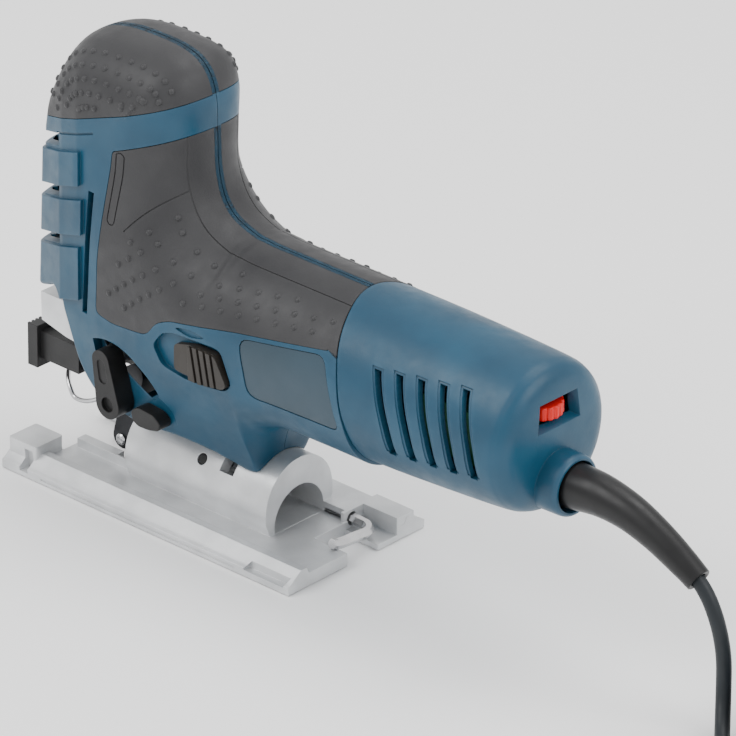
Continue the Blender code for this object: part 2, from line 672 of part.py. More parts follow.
def make_fork():
    """Pendulum fork that presses the guide roller on the blade's back."""
    outline = lever_outline(FORK_PIVOT, (ROLLER_X + 0.4, ROLLER_Z + 1.0), 4.6, 5.0)
    fork = side_prism(outline, -7.0, 7.0)
    cut(fork, side_prism(((-60, 0), (-30, 0), (-30, 21.5), (-60, 21.5)), -3.5, 3.5))
    cut(fork, turned_y(((-10, 1.8), (10, 1.8)), ROLLER_X, ROLLER_Z, 14))
    return finish("pendulum_fork", fork, BLACK, 0.45, 0.5)


def make_roller():
    """Hardened guide roller, grooved for the blade's back."""
    roller = turned_y(((-3.1, 6.0), (-0.9, 6.0), (0.0, 5.0), (0.9, 6.0), (3.1, 6.0)), ROLLER_X, ROLLER_Z, 28)
    cut(roller, turned_y(((-10, 1.8), (10, 1.8)), ROLLER_X, ROLLER_Z, 14))
    return finish("guide_roller", roller, STEEL, 0.3, 1.0, True)


def make_roller_pin():
    """Pin of the guide roller, headed at both ends outside the fork."""
    pin = turned_y(((-8.3, 2.0), (-7.4, 2.6), (-7.35, 1.5), (7.4, 1.5), (8.3, 1.5)), ROLLER_X, ROLLER_Z, 16)
    return finish("roller_pin", pin, STEEL, 0.3, 1.0, True)


def make_orbit_lever():
    """Four-position orbit lever on its stub shaft."""
    lever = side_prism(lever_outline(ORBIT_PIVOT, (-29.3, 64.0), 6.3, 4.6), -34.2, -25.0)
    join(lever, turned_y(((-26.0, 2.0), (-18.0, 2.0)), *ORBIT_PIVOT, 16))
    cut(lever, turned_y(((-40, 3.2), (-32.4, 3.2)), *ORBIT_PIVOT, 20))
    return finish("orbit_lever", lever, BLACK, 0.5, 0.0)


def make_blower_lever():
    """Small lever of the dust blower."""
    outline = (
        (-13.0, 43.0), (-13.6, 47.0), (-10.0, 49.4), (-1.0, 48.6),
        (2.6, 46.0), (2.0, 42.6), (-4.0, 41.2), (-10.0, 41.0),
    )
    lever = join(side_prism(outline, -33.0, -26.0), turned_y(((-27.0, 2.0), (-18.0, 2.0)), *BLOWER_PIVOT, 16))
    return finish("blower_lever", lever, BLACK, 0.5, 0.0)


def make_switch_slider():
    """On-off slider: wedge and ribbed thumb block outside, tongue through the wall."""
    outline = ((12.0, 75.0), (12.0, 86.5), (24.0, 89.6), (36.0, 89.6), (42.5, 78.6), (40.5, 76.4), (27.0, 74.2))
    slider = side_prism(outline, -36.6, -31.9)
    cut(slider, side_prism(((5, 70), (23.0, 70), (20.0, 95), (5, 95)), -34.4, -50))
    for k in range(4):
        x = 25.5 + 3.6 * k
        cut(slider, side_prism(((x + 1.0, 70), (x + 2.2, 70), (x - 2.8, 95), (x - 4.0, 95)), -35.7, -50))
    join(slider, block(20.0, 34.0, -32.5, -28.4, 77.0, 83.0))
    return finish("switch_slider", slider, BLACK, 0.55, 0.0)


def make_speed_dial():
    """Ribbed thumb wheel of the speed control, on an upright axis behind its window."""
    count = 36
    x, z = DIAL_CENTRE
    rings = []
    for level in (z - 2.9, z + 2.9):
        points = []
        for i in range(count):
            a = 2 * math.pi * i / count
            r = 9.4 if i % 2 else 8.9
            points.append((x + r * math.cos(a), r * math.sin(a), level))
        rings.append(points)
    return finish("speed_dial", sections(rings), (0.75, 0.02, 0.02), 0.4, 0.0)


def half_round(radius, steps=14):
    """Outline of the hub from foot to foot over the top, in the end view."""
    angles = np.radians(np.linspace(0.0, 180.0, steps))
    return [(radius * math.cos(a), HUB_Z + radius * math.sin(a)) for a in angles]


def make_base_plate():
    """Die-cast base: floor, sloped rails, half-round hub, blade opening and key stowage."""
    half = SOLE_LENGTH / 2
    edge = SOLE_WIDTH / 2
    trough = [
        (-edge, 0.0), (edge, 0.0), (edge, 3.6), (38.4, 4.4),
        (32.6, RAIL_TOP), (29.3, RAIL_TOP), (28.0, SOLE_FLOOR),
    ]
    trough += [(-28.0, SOLE_FLOOR), (-29.3, RAIL_TOP), (-32.6, RAIL_TOP), (-38.4, 4.4), (-edge, 3.6)]
    base = end_prism(trough, -half, half)
    hub = half_round(HUB_OUTER) + [(-HUB_OUTER, 12.0), (-16.6, 5.0), (16.6, 5.0), (HUB_OUTER, 12.0)]
    join(base, end_prism(hub, -30.0, HUB_REAR))
    join(base, block(-62, -29, -14.5, -9.8, 4, 10), block(-62, -29, 9.8, 14.5, 4, 10))
    join(base, block(-80, -64.4, -36.0, -20.3, 4, 12.5), block(-80, -64.4, 20.3, 36.0, 4, 12.5))
    join(base, block(30, 61.5, 12.0, 30.0, 4, 10.2), block(60, 79.9, 23.7, 33.6, 4, 10.2))
    tunnel = half_round(HUB_INNER) + [(-HUB_INNER, SOLE_FLOOR), (HUB_INNER, SOLE_FLOOR)]
    mouth = [(14.4 * math.cos(a), 8.6 + 14.4 * math.sin(a)) for a in np.radians(np.linspace(-10, 190, 14))]
    cut(base, end_prism(tunnel, -40.0, 39.0), end_prism(mouth, 30.0, 60.0))
    arc = []
    for radius, start, stop in ((10.0, -60, 60), (24.0, 60, -60)):
        for angle in np.radians(np.linspace(start, stop, 9)):
            arc.append((radius * math.sin(angle), HUB_Z + radius * math.cos(angle)))
    cut(base, end_prism(arc, 20.3, 27.7))
    cut(base, turned_z(((-5, 7.5), (10, 7.5)), 24.0, 0.0, 20))
    cut(base, block(-66, -34, -9.5, 9.5, -5, 20), block(-90, -64.4, -20.0, 20.0, -5, 20))
    cut(base, block(62, 90, -5.8, 12.5, -5, 20), block(62, 90, 12.0, 23.7, 2.6, 20))
    cut(base, turned_x(((48.9, 2.9), (70.0, 2.9)), KEY_Z, 16, KEY_Y), swept(STOP_PIN_LINE, (2.5, 2.5), 16))
    for side in (-1, 1):
        cut(base, side_prism(((55.0, 2.6), (59.0, 9.5), (79.0, 9.5), (77.0, 2.6)), side * 36.4, side * 50))
        pocket = ((-70.0, 1.9), (-71.0, 10.0), (-66.5, 10.0), (-65.5, 1.9))
        cut(base, side_prism(pocket, side * 34.0, side * 50))
    return finish("base_plate", base, CAST, 0.5, 0.85)


def make_stop_pin():
    """Black pin pressed into the hub's near side, which stops the bevel at square."""
    foot = np.array(STOP_PIN_LINE[0])
    line = [tuple(foot), tuple(foot + (np.array(STOP_PIN_LINE[1]) - foot) * STOP_PIN_REACH)]
    return finish("stop_pin", swept(line, (2.2, 2.2), 16), BLACK, 0.5, 0.0, True)


def make_hex_key():
    """Hexagon key stowed in the base: long leg in its bore, short leg across the rear notch."""
    line = [(49.5, KEY_Y, KEY_Z), (67.5, KEY_Y, KEY_Z), (70.7, 16.4, KEY_Z)]
    line += [(73.0, 14.6, KEY_Z), (74.2, 11.6, KEY_Z)]
    line += [(74.0, -3.6, 7.4), (73.9, -8.0, 8.8)]
    return finish("hex_key", swept(line, [2.3] * len(line), 6), STEEL, 0.25, 1.0)


def make_clamp_bar():
    """Curved steel bar inside the hub, pulled up by the clamp screw."""
    angles = np.radians(np.linspace(-48, 48, 9))
    outer = [(13.1 * math.sin(a), HUB_Z + 13.1 * math.cos(a)) for a in angles]
    inner = [(y * 0.74, HUB_Z + (z - HUB_Z) * 0.74) for y, z in outer[::-1]]
    bar = end_prism(outer + inner, 12.0, 36.0)
    cut(bar, turned_z(((10, 3.3), (50, 3.3)), 24.0, 0.0))
    return finish("clamp_bar", bar, STEEL, 0.4, 1.0)


def make_clamp_screw():
    """Socket screw that clamps the base to the foot."""
    screw = turned_z(((13.0, 5.0), (18.5, 5.0), (18.6, 3.0), (44.0, 3.0)), 24.0, 0.0)
    cut(screw, turned_z(((10.0, 2.9), (16.5, 2.9)), 24.0, 0.0, 6))
    return finish("clamp_screw", screw, STEEL, 0.35, 1.0)


def make_housing_screw(name, x, z):
    """Self-tapping screw that closes the clamshells, from the right."""
    seat = screw_seat(x, z) + GAP
    screw = turned_y(((20.5, 1.5), (seat, 1.5), (seat + 0.05, 3.5), (seat + 2.2, 3.5)), x, z, 16)
    cut(screw, turned_y(((seat + 1.0, 1.3), (seat + 6, 1.3)), x, z, 6))
    return finish(name, screw, STEEL, 0.4, 1.0)


SLEEVE_ROUTE = (
    (182.5, 0.0, 75.6), (189.0, 0.0, 75.8), (196.0, 0.0, 76.2), (209.0, 0.0, 76.6), (223.0, 0.0, 74.4),
    (237.0, 0.0, 69.3), (250.0, 0.0, 62.6), (257.5, 0.0, 58.2),
)
CORD_ROUTE = (
    (258.3, 0.0, 57.6), (263.2, 0.0, 52.0), (267.4, 0.0, 44.2), (270.2, -0.1, 35.8),
    (271.6, -0.3, 28.6), (272.4, -1.0, 22.1), (274.5, -3.5, 14.3), (278.4, -8.2, 8.1), (283.2, -14.0, 4.6),
    (287.6, -19.3, 3.3), (292.6, -23.8, 3.2), (299.0, -27.4, 3.2), (305.8, -28.6, 3.2),
)
COIL_CENTRE = (329.0, 11.8)
COIL_OUTER = 43.5
COIL_INNER = 24.5
COIL_HEIGHT = 25.6
PLUG_TAIL = (351.0, -4.2)      # where the cord enters the plug, in plan
PLUG_HEIGHT = 18.0
PIN_SPREAD = 19.0


def make_bend_sleeve():
    """Tapered rubber sleeve that guards the cord at the boss."""
    line = smooth_line(SLEEVE_ROUTE, 15)
    run = np.linspace(0.0, 1.0, 15)
    radii = np.interp(run, (0.0, 0.2, 0.45, 1.0), (10.0, 9.7, 8.2, 5.1))
    sleeve = swept(line, radii, 16)
    return finish("bend_sleeve", sleeve, BLACK, 0.55, 0.0, True)


def make_cord_lead():
    """Mains cord from the sleeve to the coil, laid on the floor."""
    line = smooth_line(CORD_ROUTE, 26)
    curve = bpy.data.curves.new("cord_lead", "CURVE")
    curve.dimensions = "3D"
    curve.bevel_depth = CORD_DIAMETER / 2 * MM
    curve.bevel_resolution = 2
    curve.use_fill_caps = True
    spline = curve.splines.new("POLY")
    spline.points.add(len(line) - 1)
    for point, place in zip(spline.points, line):
        point.co = (*(place * MM), 1.0)
    holder = bpy.data.objects.new("cord_lead_curve", curve)
    bpy.context.scene.collection.objects.link(holder)
    graph = bpy.context.evaluated_depsgraph_get()
    mesh = bpy.data.meshes.new_from_object(holder.evaluated_get(graph))
    obj = bpy.data.objects.new("cord_lead", mesh)
    bpy.context.scene.collection.objects.link(obj)
    bpy.data.objects.remove(holder, do_unlink=True)
    return finish("cord_lead", obj, BLACK, 0.5, 0.0, True)


def make_cord_coil():
    """Outer shape of the coiled cord."""
    cx, cy = COIL_CENTRE
    edge = COIL_OUTER - 1.5
    profile = ((0.0, edge), (1.5, COIL_OUTER), (COIL_HEIGHT - 1.5, COIL_OUTER), (COIL_HEIGHT, edge))
    angles = [2 * math.pi * i / 40 for i in range(40)]
    coil = sections([[(cx + r * math.cos(a), cy + r * math.sin(a), z) for a in angles] for z, r in profile])
    cut(coil, turned_z(((-5, COIL_INNER), (40, COIL_INNER)), cx, cy, 40))
    return finish("cord_coil", coil, BLACK, 0.5, 0.0, True)


def make_plug():
    """Two-pin mains plug lying on the coil, and its pins."""
    x0, y0 = PLUG_TAIL
    rest = COIL_HEIGHT + GAP
    half = PLUG_HEIGHT / 2
    profile = (
        (0.0, 4.0, 4.0), (22.0, 6.0, 8.0), (28.0, half, 13.0), (58.0, half, 15.5),
        (60.0, half - 1.0, 14.5),
    )
    angles = [2 * math.pi * i / 24 for i in range(24)]
    rings = []
    for y, h, w in profile:
        rings.append([(x0 + w * math.cos(a), y0 + y, rest + h + h * math.sin(a)) for a in angles])
    finish("plug_body", sections(rings), BLACK, 0.5, 0.0, True)
    for name, x in (("plug_pin_left", x0 - PIN_SPREAD / 2), ("plug_pin_right", x0 + PIN_SPREAD / 2)):
        pin = turned_y(((y0 + 60.3, 2.0), (y0 + 78.0, 2.0), (y0 + 79.0, 1.2)), x, rest + half, 14)
        finish(name, pin, STEEL, 0.3, 1.0, True)


# a point on the joint axis of each moving piece
PIVOTS = {
    "base_plate": (0.0, 0.0, HUB_Z),
    "stop_pin": (0.0, 0.0, HUB_Z),
    "hex_key": (74.0, KEY_Y, KEY_Z),
    "plunger": (PLUNGER_X, 0.0, 100.0),
    "blade_clamp": (PLUNGER_X, 0.0, 55.0),
    "release_lever": (PLUNGER_X, 0.0, 43.0),
    "gear_wheel": (-38.0, 0.0, GEAR_Z),
    "armature_shaft": (0.0, 0.0, MOTOR_Z),
    "lamination_stack": (0.0, 0.0, MOTOR_Z),
    "commutator": (0.0, 0.0, MOTOR_Z),
    "cooling_fan": (0.0, 0.0, MOTOR_Z),
    "pendulum_fork": (FORK_PIVOT[0], 0.0, FORK_PIVOT[1]),
    "roller_pin": (FORK_PIVOT[0], 0.0, FORK_PIVOT[1]),
    "guide_roller": (ROLLER_X, 0.0, ROLLER_Z),
    "orbit_lever": (ORBIT_PIVOT[0], -30.0, ORBIT_PIVOT[1]),
    "blower_lever": (BLOWER_PIVOT[0], -30.0, BLOWER_PIVOT[1]),
    "switch_slider": (20.0, -34.0, 82.0),
    "speed_dial": (DIAL_CENTRE[0], 0.0, DIAL_CENTRE[1]),
}


def set_pivot(name, place):
    """Moves a piece's origin onto its joint axis and leaves its shape where it is."""
    obj = bpy.data.objects[name]
    pivot = Vector(place) * MM
    obj.data.transform(Matrix.Translation(-pivot))
    obj.location = pivot


def build():
    """Every piece of the jigsaw."""
    clear_scene()
    for label, side in (("left", -1), ("right", 1)):
        make_shell(label + "_shell", side)
        make_knob_grip(label + "_knob_grip", side)
        make_side_grip(label + "_side_grip", side)
        make_plate(label + "_plate", side)
        make_brush(label + "_carbon_brush", side)
        make_brush_holder(label + "_brush_holder", side)
    make_motor_cap()
    make_gear_case()
    make_bush("lower_bush", 63.4, 70.0)
    make_bush("upper_bush", 145.3, 151.7)
    make_plunger()
    make_blade_clamp()
    make_release_lever()
    make_wire_guard()
    make_gear_wheel()
    finish("gear_pin", turned_x(((-44.2, 3.0), (-20.0, 3.0)), GEAR_Z, 20), STEEL, 0.3, 1.0, True)
    make_armature_shaft()
    make_lamination_stack()
    ring_part("commutator", 91.0, 106.0, 11.2, 4.3, COPPER, 0.9)
    ring_part("front_bearing", 2.0, 9.0, 11.0, 4.3, STEEL, 1.0)
    ring_part("rear_bearing", 111.5, 119.0, 9.6, 4.3, STEEL, 1.0)
    make_fan()
    make_stator()
    make_bearing_flange()
    make_brush_carrier()
    make_fork()
    make_roller()
    make_roller_pin()
    make_orbit_lever()
    make_blower_lever()
    make_switch_slider()
    make_speed_dial()
    finish("switch_box", block(128, 156, -13, 13, 66.5, 75.5), BLACK, 0.6, 0.0)
    finish("electronics_block", block(128, 160, -18, 18, 78.0, 100.0), (0.05, 0.16, 0.08), 0.6, 0.0)
    make_base_plate()
    make_stop_pin()
    make_hex_key()
    make_clamp_bar()
    make_clamp_screw()
    for number, (x, z) in enumerate(SCREW_PLACES, 1):
        make_housing_screw(f"housing_screw_{number}", x, z)
    make_bend_sleeve()
    make_cord_lead()
    make_cord_coil()
    make_plug()
    for name, place in PIVOTS.items():
        set_pivot(name, place)


build()
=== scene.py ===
import math

import bmesh
import bpy
import numpy as np
from mathutils import Matrix


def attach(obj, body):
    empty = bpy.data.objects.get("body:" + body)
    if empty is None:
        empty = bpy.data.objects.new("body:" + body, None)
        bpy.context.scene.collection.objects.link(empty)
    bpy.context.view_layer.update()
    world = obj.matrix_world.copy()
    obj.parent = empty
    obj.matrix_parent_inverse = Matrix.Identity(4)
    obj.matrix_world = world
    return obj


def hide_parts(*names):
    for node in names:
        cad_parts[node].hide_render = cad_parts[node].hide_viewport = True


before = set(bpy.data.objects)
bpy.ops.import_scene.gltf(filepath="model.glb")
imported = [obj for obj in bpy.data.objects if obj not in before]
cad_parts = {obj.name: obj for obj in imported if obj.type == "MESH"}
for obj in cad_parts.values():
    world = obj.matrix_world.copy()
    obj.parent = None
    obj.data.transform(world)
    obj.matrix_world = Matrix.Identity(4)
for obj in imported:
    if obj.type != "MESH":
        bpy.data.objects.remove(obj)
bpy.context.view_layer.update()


# ---------------------------------------------------------------------------------------------
# Studio. A pale seamless floor under soft white panels, and a long lens a few metres away that
# looks down on the tool's left rear corner.

def studio():
    """Floor, three soft panels, an even white surround and the camera."""
    bpy.ops.mesh.primitive_plane_add(size=14.0, location=(0.0, 0.0, -0.0004))
    floor = bpy.context.object
    floor.name = "studio_floor"
    paper = bpy.data.materials.new("studio_paper")
    paper.use_nodes = True
    surface = paper.node_tree.nodes["Principled BSDF"]
    surface.inputs["Base Color"].default_value = (0.97, 0.97, 0.97, 1.0)
    surface.inputs["Roughness"].default_value = 0.9
    surface.inputs["Specular IOR Level"].default_value = 0.1
    floor.data.materials.append(paper)
    world = bpy.data.worlds.new("studio_surround")
    bpy.context.scene.world = world
    world.use_nodes = True
    world.node_tree.nodes["Background"].inputs["Color"].default_value = (1.0, 1.0, 1.0, 1.0)
    world.node_tree.nodes["Background"].inputs["Strength"].default_value = 1.15
    # where each panel stands, the point it faces, its side in metres and its power in watts
    panels = (
        ("key_panel", (-0.55, -0.95, 1.35), (0.03, 0.0, 0.1), 0.9, 15.0),
        ("rear_panel", (1.15, 0.25, 0.95), (0.1, 0.0, 0.1), 0.7, 8.0),
        ("top_panel", (0.1, 0.55, 1.5), (0.05, 0.0, 0.1), 0.8, 8.0),
    )
    for name, place, target, side, power in panels:
        light = bpy.data.lights.new(name, "AREA")
        light.shape = "SQUARE"
        light.size = side
        light.energy = power
        lamp = bpy.data.objects.new(name, light)
        bpy.context.scene.collection.objects.link(lamp)
        back = np.array(place) - np.array(target)
        back /= np.linalg.norm(back)
        across = np.cross((0.0, 0.0, 1.0), back)
        across /= np.linalg.norm(across)
        turn = np.column_stack((across, np.cross(back, across), back))
        matrix = np.eye(4)
        matrix[:3, :3] = turn
        matrix[:3, 3] = place
        lamp.matrix_world = Matrix(matrix)

    azimuth, elevation, roll = np.radians((42.41, 27.09, 0.53))
    right = np.array((math.cos(azimuth), math.sin(azimuth), 0.0))
    flat_back = np.array((math.sin(azimuth), -math.cos(azimuth), 0.0))
    back = flat_back * math.cos(elevation) + (0.0, 0.0, math.sin(elevation))
    up = np.cross(back, right)
    right, up = right * math.cos(roll) + up * math.sin(roll), up * math.cos(roll) - right * math.sin(roll)
    lens = bpy.data.cameras.new("studio_camera")
    lens.sensor_width = 36.0
    lens.lens = 391.3
    lens.clip_end = 30.0
    eye = bpy.data.objects.new("studio_camera", lens)
    bpy.context.scene.collection.objects.link(eye)
    matrix = np.eye(4)
    matrix[:3, :3] = np.column_stack((right, up, back))
    matrix[:3, 3] = right * 0.0633 + up * 0.0521 + back * 3.2432
    eye.matrix_world = Matrix(matrix)
    bpy.context.scene.camera = eye


studio()


# ---------------------------------------------------------------------------------------------
# Mains cord. Two-core rubber lead, 6.3 mm thick and 2.7 m long, moulded into the bend sleeve at
# one end and into the plug at the other. It drops to the floor and is wound up in a tied coil.

MM = 0.001
CORD_DIAMETER = 6.3
CORD_ROUTE = (
    (251.5, 0.0, 61.7), (258.3, 0.0, 57.6), (263.2, 0.0, 52.0), (267.4, 0.0, 44.2), (270.2, -0.1, 35.8),
    (271.6, -0.3, 28.6), (272.4, -1.0, 22.1), (274.5, -3.5, 14.3), (278.4, -8.2, 8.1), (283.2, -14.0, 4.6),
    (287.6, -19.3, 3.3), (292.6, -23.8, 3.2), (299.0, -27.4, 3.2), (305.8, -28.6, 3.2),
)
COIL_CENTRE = (329.0, 11.8)
COIL_RADII = (40.3, 34.0, 27.7)
COIL_LAYERS = 4
PLUG_TAIL = (351.0, -4.2)
COIL_TOP = 25.9


def smooth_line(route, count):
    """Catmull-Rom curve through the route: each point is a cubic of its stretch's four nearest points."""
    ends = np.array(route, float)
    ends = np.vstack((2 * ends[0] - ends[1], ends, 2 * ends[-1] - ends[-2]))
    along = np.linspace(0.0, len(route) - 1.0, count)
    first = np.minimum(along.astype(int), len(route) - 2)
    t = (along - first)[:, None]
    p0, p1, p2, p3 = (ends[first + k] for k in range(4))
    straight = 2 * p1 + (p2 - p0) * t
    bent = (2 * p0 - 5 * p1 + 4 * p2 - p3) * t ** 2 + (3 * p1 - p0 - 3 * p2 + p3) * t ** 3
    return 0.5 * (straight + bent)


def coil_line():
    """Angle runs on steadily. Radius and height hold for half a turn, then ease over to the next turn's."""
    cx, cy = COIL_CENTRE
    start = math.radians(-119.9)
    targets = []
    for layer in range(COIL_LAYERS):
        radii = COIL_RADII if layer % 2 == 0 else COIL_RADII[::-1]
        targets += [(r, 3.2 + 6.35 * layer) for r in radii]
    targets.append((COIL_RADII[0], COIL_TOP + CORD_DIAMETER / 2 - 0.1))
    targets = np.array(targets)
    turn = np.arange(0.02, len(targets) - 1.0, 1 / 32)
    whole = turn.astype(int)
    ease = np.clip((turn - whole - 0.42) / 0.58, 0.0, 1.0)
    ease = (ease * ease * (3 - 2 * ease))[:, None]
    place = targets[whole] * (1 - ease) + targets[whole + 1] * ease
    entry = np.clip(1 - turn / 0.3, 0.0, 1.0)
    radius = place[:, 0] + 6.3 * entry * entry * (3 - 2 * entry)
    angle = start + turn * 2 * math.pi
    wound = np.column_stack((cx + radius * np.cos(angle), cy + radius * np.sin(angle), place[:, 1]))
    # leaves the top turn on a tighter bend and runs straight into the plug's tail
    leave = math.radians(-100.0)
    bend = 25.0
    hub = np.array(COIL_CENTRE) + (COIL_RADII[0] - bend) * np.array((math.cos(leave), math.sin(leave)))
    onward = np.linspace(start, leave, 6)[1:-1]
    onward = np.column_stack((np.cos(onward), np.sin(onward))) * COIL_RADII[0] + COIL_CENTRE
    onward = np.column_stack((onward, np.full(4, targets[-1, 1])))
    swing = np.linspace(leave, 0.0, 14)
    share = (swing - leave) / -leave
    height = targets[-1, 1] + (COIL_TOP + 4.0 - targets[-1, 1]) * share
    last = np.column_stack((hub[0] + bend * np.cos(swing), hub[1] + bend * np.sin(swing), height))
    end = np.array(((PLUG_TAIL[0], PLUG_TAIL[1] + 1.5, COIL_TOP + 4.0),))
    return np.vstack((wound, onward, last, end))


def eased(line, passes):
    """Softens a line: in each pass every inner point moves half way to the middle of its neighbours."""
    for _ in range(passes):
        line[1:-1] = 0.5 * line[1:-1] + 0.25 * (line[:-2] + line[2:])
    return line


cord_line = np.vstack((eased(smooth_line(CORD_ROUTE, 60), 12), coil_line()))
curve = bpy.data.curves.new("mains_cord", "CURVE")
curve.dimensions = "3D"
curve.bevel_depth = CORD_DIAMETER / 2 * MM
curve.bevel_resolution = 4
curve.use_fill_caps = True
spline = curve.splines.new("POLY")
spline.points.add(len(cord_line) - 1)
spline.points.foreach_set("co", np.column_stack((cord_line * MM, np.ones(len(cord_line)))).ravel())
mains_cord = bpy.data.objects.new("mains_cord", curve)
bpy.context.scene.collection.objects.link(mains_cord)


def new_finish(name, colour, roughness, metallic=0.0):
    """A Principled surface to build on. Returns the material, its node tree and the shader."""
    material = bpy.data.materials.new(name)
    material.use_nodes = True
    surface = material.node_tree.nodes["Principled BSDF"]
    surface.inputs["Base Color"].default_value = (*colour, 1.0)
    surface.inputs["Roughness"].default_value = roughness
    surface.inputs["Metallic"].default_value = metallic
    return material, material.node_tree, surface


def noise(tree, scale, detail=3.0, stretch=None):
    """Noise over the piece's own coordinates, per metre. stretch squeezes it along the axes."""
    place = tree.nodes.new("ShaderNodeTexCoord").outputs["Object"]
    if stretch:
        mapping = tree.nodes.new("ShaderNodeMapping")
        mapping.inputs["Scale"].default_value = stretch
        tree.links.new(place, mapping.inputs["Vector"])
        place = mapping.outputs["Vector"]
    texture = tree.nodes.new("ShaderNodeTexNoise")
    texture.inputs["Scale"].default_value = scale
    texture.inputs["Detail"].default_value = detail
    tree.links.new(place, texture.inputs["Vector"])
    return texture.outputs["Fac"]


def ramp(tree, factor, stops):
    """Colour ramp over a factor. stops are (position, grey or colour)."""
    bands = tree.nodes.new("ShaderNodeValToRGB")
    elements = bands.color_ramp.elements
    while len(elements) < len(stops):
        elements.new(0.5)
    for element, (position, tone) in zip(elements, stops):
        element.position = position
        element.color = (*tone, 1.0) if isinstance(tone, tuple) else (tone, tone, tone, 1.0)
    tree.links.new(factor, bands.inputs["Fac"])
    return bands.outputs["Color"]


def relief(tree, surface, layers, rim=0.0):
    """Bumps stacked from (height, strength, depth in metres). rim rounds the light off sharp edges."""
    normal = None
    if rim:
        edge = tree.nodes.new("ShaderNodeBevel")
        edge.samples = 6
        edge.inputs["Radius"].default_value = rim
        normal = edge.outputs["Normal"]
    for height, strength, depth in layers:
        bump = tree.nodes.new("ShaderNodeBump")
        bump.inputs["Strength"].default_value = strength
        bump.inputs["Distance"].default_value = depth
        tree.links.new(height, bump.inputs["Height"])
        if normal:
            tree.links.new(normal, bump.inputs["Normal"])
        normal = bump.outputs["Normal"]
    if normal:
        tree.links.new(normal, surface.inputs["Normal"])


def moulded(name, dark, light, roughness, grain, rim=0.00035, wear=0.0):
    """Moulded plastic or rubber: two close tones drifting over it, a fine etched grain, and slightly
    polished and lightened outer corners where wear is set."""
    material, tree, surface = new_finish(name, light, roughness)
    surface.inputs["Specular IOR Level"].default_value = 0.34
    drift = ramp(tree, noise(tree, 38.0, 4.0), ((0.35, dark), (0.68, light)))
    if wear:
        shape = tree.nodes.new("ShaderNodeNewGeometry")
        corner = ramp(tree, shape.outputs["Pointiness"], ((0.515, 0.0), (0.60, wear)))
        mix = tree.nodes.new("ShaderNodeMix")
        mix.data_type = "RGBA"
        tree.links.new(corner, mix.inputs["Factor"])
        tree.links.new(drift, mix.inputs["A"])
        mix.inputs["B"].default_value = (*(min(1.0, c * 1.5 + 0.04) for c in light), 1.0)
        drift = mix.outputs["Result"]
    tree.links.new(drift, surface.inputs["Base Color"])
    rough = ramp(tree, noise(tree, 160.0, 3.0), ((0.3, roughness - 0.06), (0.7, roughness + 0.07)))
    tree.links.new(rough, surface.inputs["Roughness"])
    fine = noise(tree, 2600.0, 2.0)
    coarse = noise(tree, 900.0, 3.0)
    relief(tree, surface, ((coarse, grain * 0.6, 0.00012), (fine, grain, 0.00006)), rim)
    return material


cord_rubber = moulded("cord_rubber", (0.007, 0.010, 0.013), (0.013, 0.017, 0.021), 0.46, 0.25, 0.0)
curve.materials.append(cord_rubber)


def make_mesh(name, points, faces):
    """Closed mesh from points in millimetres, its faces turned outwards and split into triangles."""
    mesh = bpy.data.meshes.new(name)
    mesh.from_pydata((np.asarray(points, float) * MM).tolist(), [], faces)
    shell = bmesh.new()
    shell.from_mesh(mesh)
    bmesh.ops.triangulate(shell, faces=shell.faces, ngon_method="EAR_CLIP")
    bmesh.ops.recalc_face_normals(shell, faces=shell.faces)
    shell.to_mesh(mesh)
    shell.free()
    obj = bpy.data.objects.new(name, mesh)
    bpy.context.scene.collection.objects.link(obj)
    return obj


def lofted(name, rings, closed=False):
    """Solid through rings of equal size, an array (ring, point, xyz). The end rings are filled, or the
    last ring joins the first when closed."""
    rings = np.asarray(rings, float)
    count, size = rings.shape[:2]
    ring = np.arange(count if closed else count - 1)[:, None] * size
    step = np.arange(size)[None, :]
    ahead = (step + 1) % size
    above = (ring + size) % (count * size)
    quads = np.stack((ring + step, ring + ahead, above + ahead, above + step), axis=-1)
    quads = quads.reshape(-1, 4).tolist()
    if not closed:
        quads += [list(range(size)), list(range((count - 1) * size, count * size))]
    return make_mesh(name, rings.reshape(-1, 3), quads)


def piece(obj, body, nodes, material, crease=32.0, soften=0.0, segments=3):
    """Finishes a piece: material, smooth shading up to the crease angle, softened edges, the body that
    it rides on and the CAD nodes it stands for."""
    obj.data.materials.clear()
    obj.data.materials.append(material)
    if obj.type == "MESH":
        shell = bmesh.new()
        shell.from_mesh(obj.data)
        bmesh.ops.remove_doubles(shell, verts=shell.verts, dist=0.000003)
        bmesh.ops.dissolve_degenerate(shell, edges=shell.edges, dist=0.000003)
        if soften:
            bmesh.ops.dissolve_limit(shell, angle_limit=0.004, verts=shell.verts, edges=shell.edges)
        shell.to_mesh(obj.data)
        shell.free()
        obj.data.polygons.foreach_set("use_smooth", [True] * len(obj.data.polygons))
        if soften:
            edge = obj.modifiers.new("soft edges", "BEVEL")
            edge.width = soften * MM
            edge.segments = segments
            edge.limit_method = "ANGLE"
            edge.angle_limit = math.radians(crease)
            edge.harden_normals = True
        else:
            obj.data.set_sharp_from_angle(angle=math.radians(crease))
    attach(obj, body)
    if nodes:
        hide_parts(*nodes)
    return obj


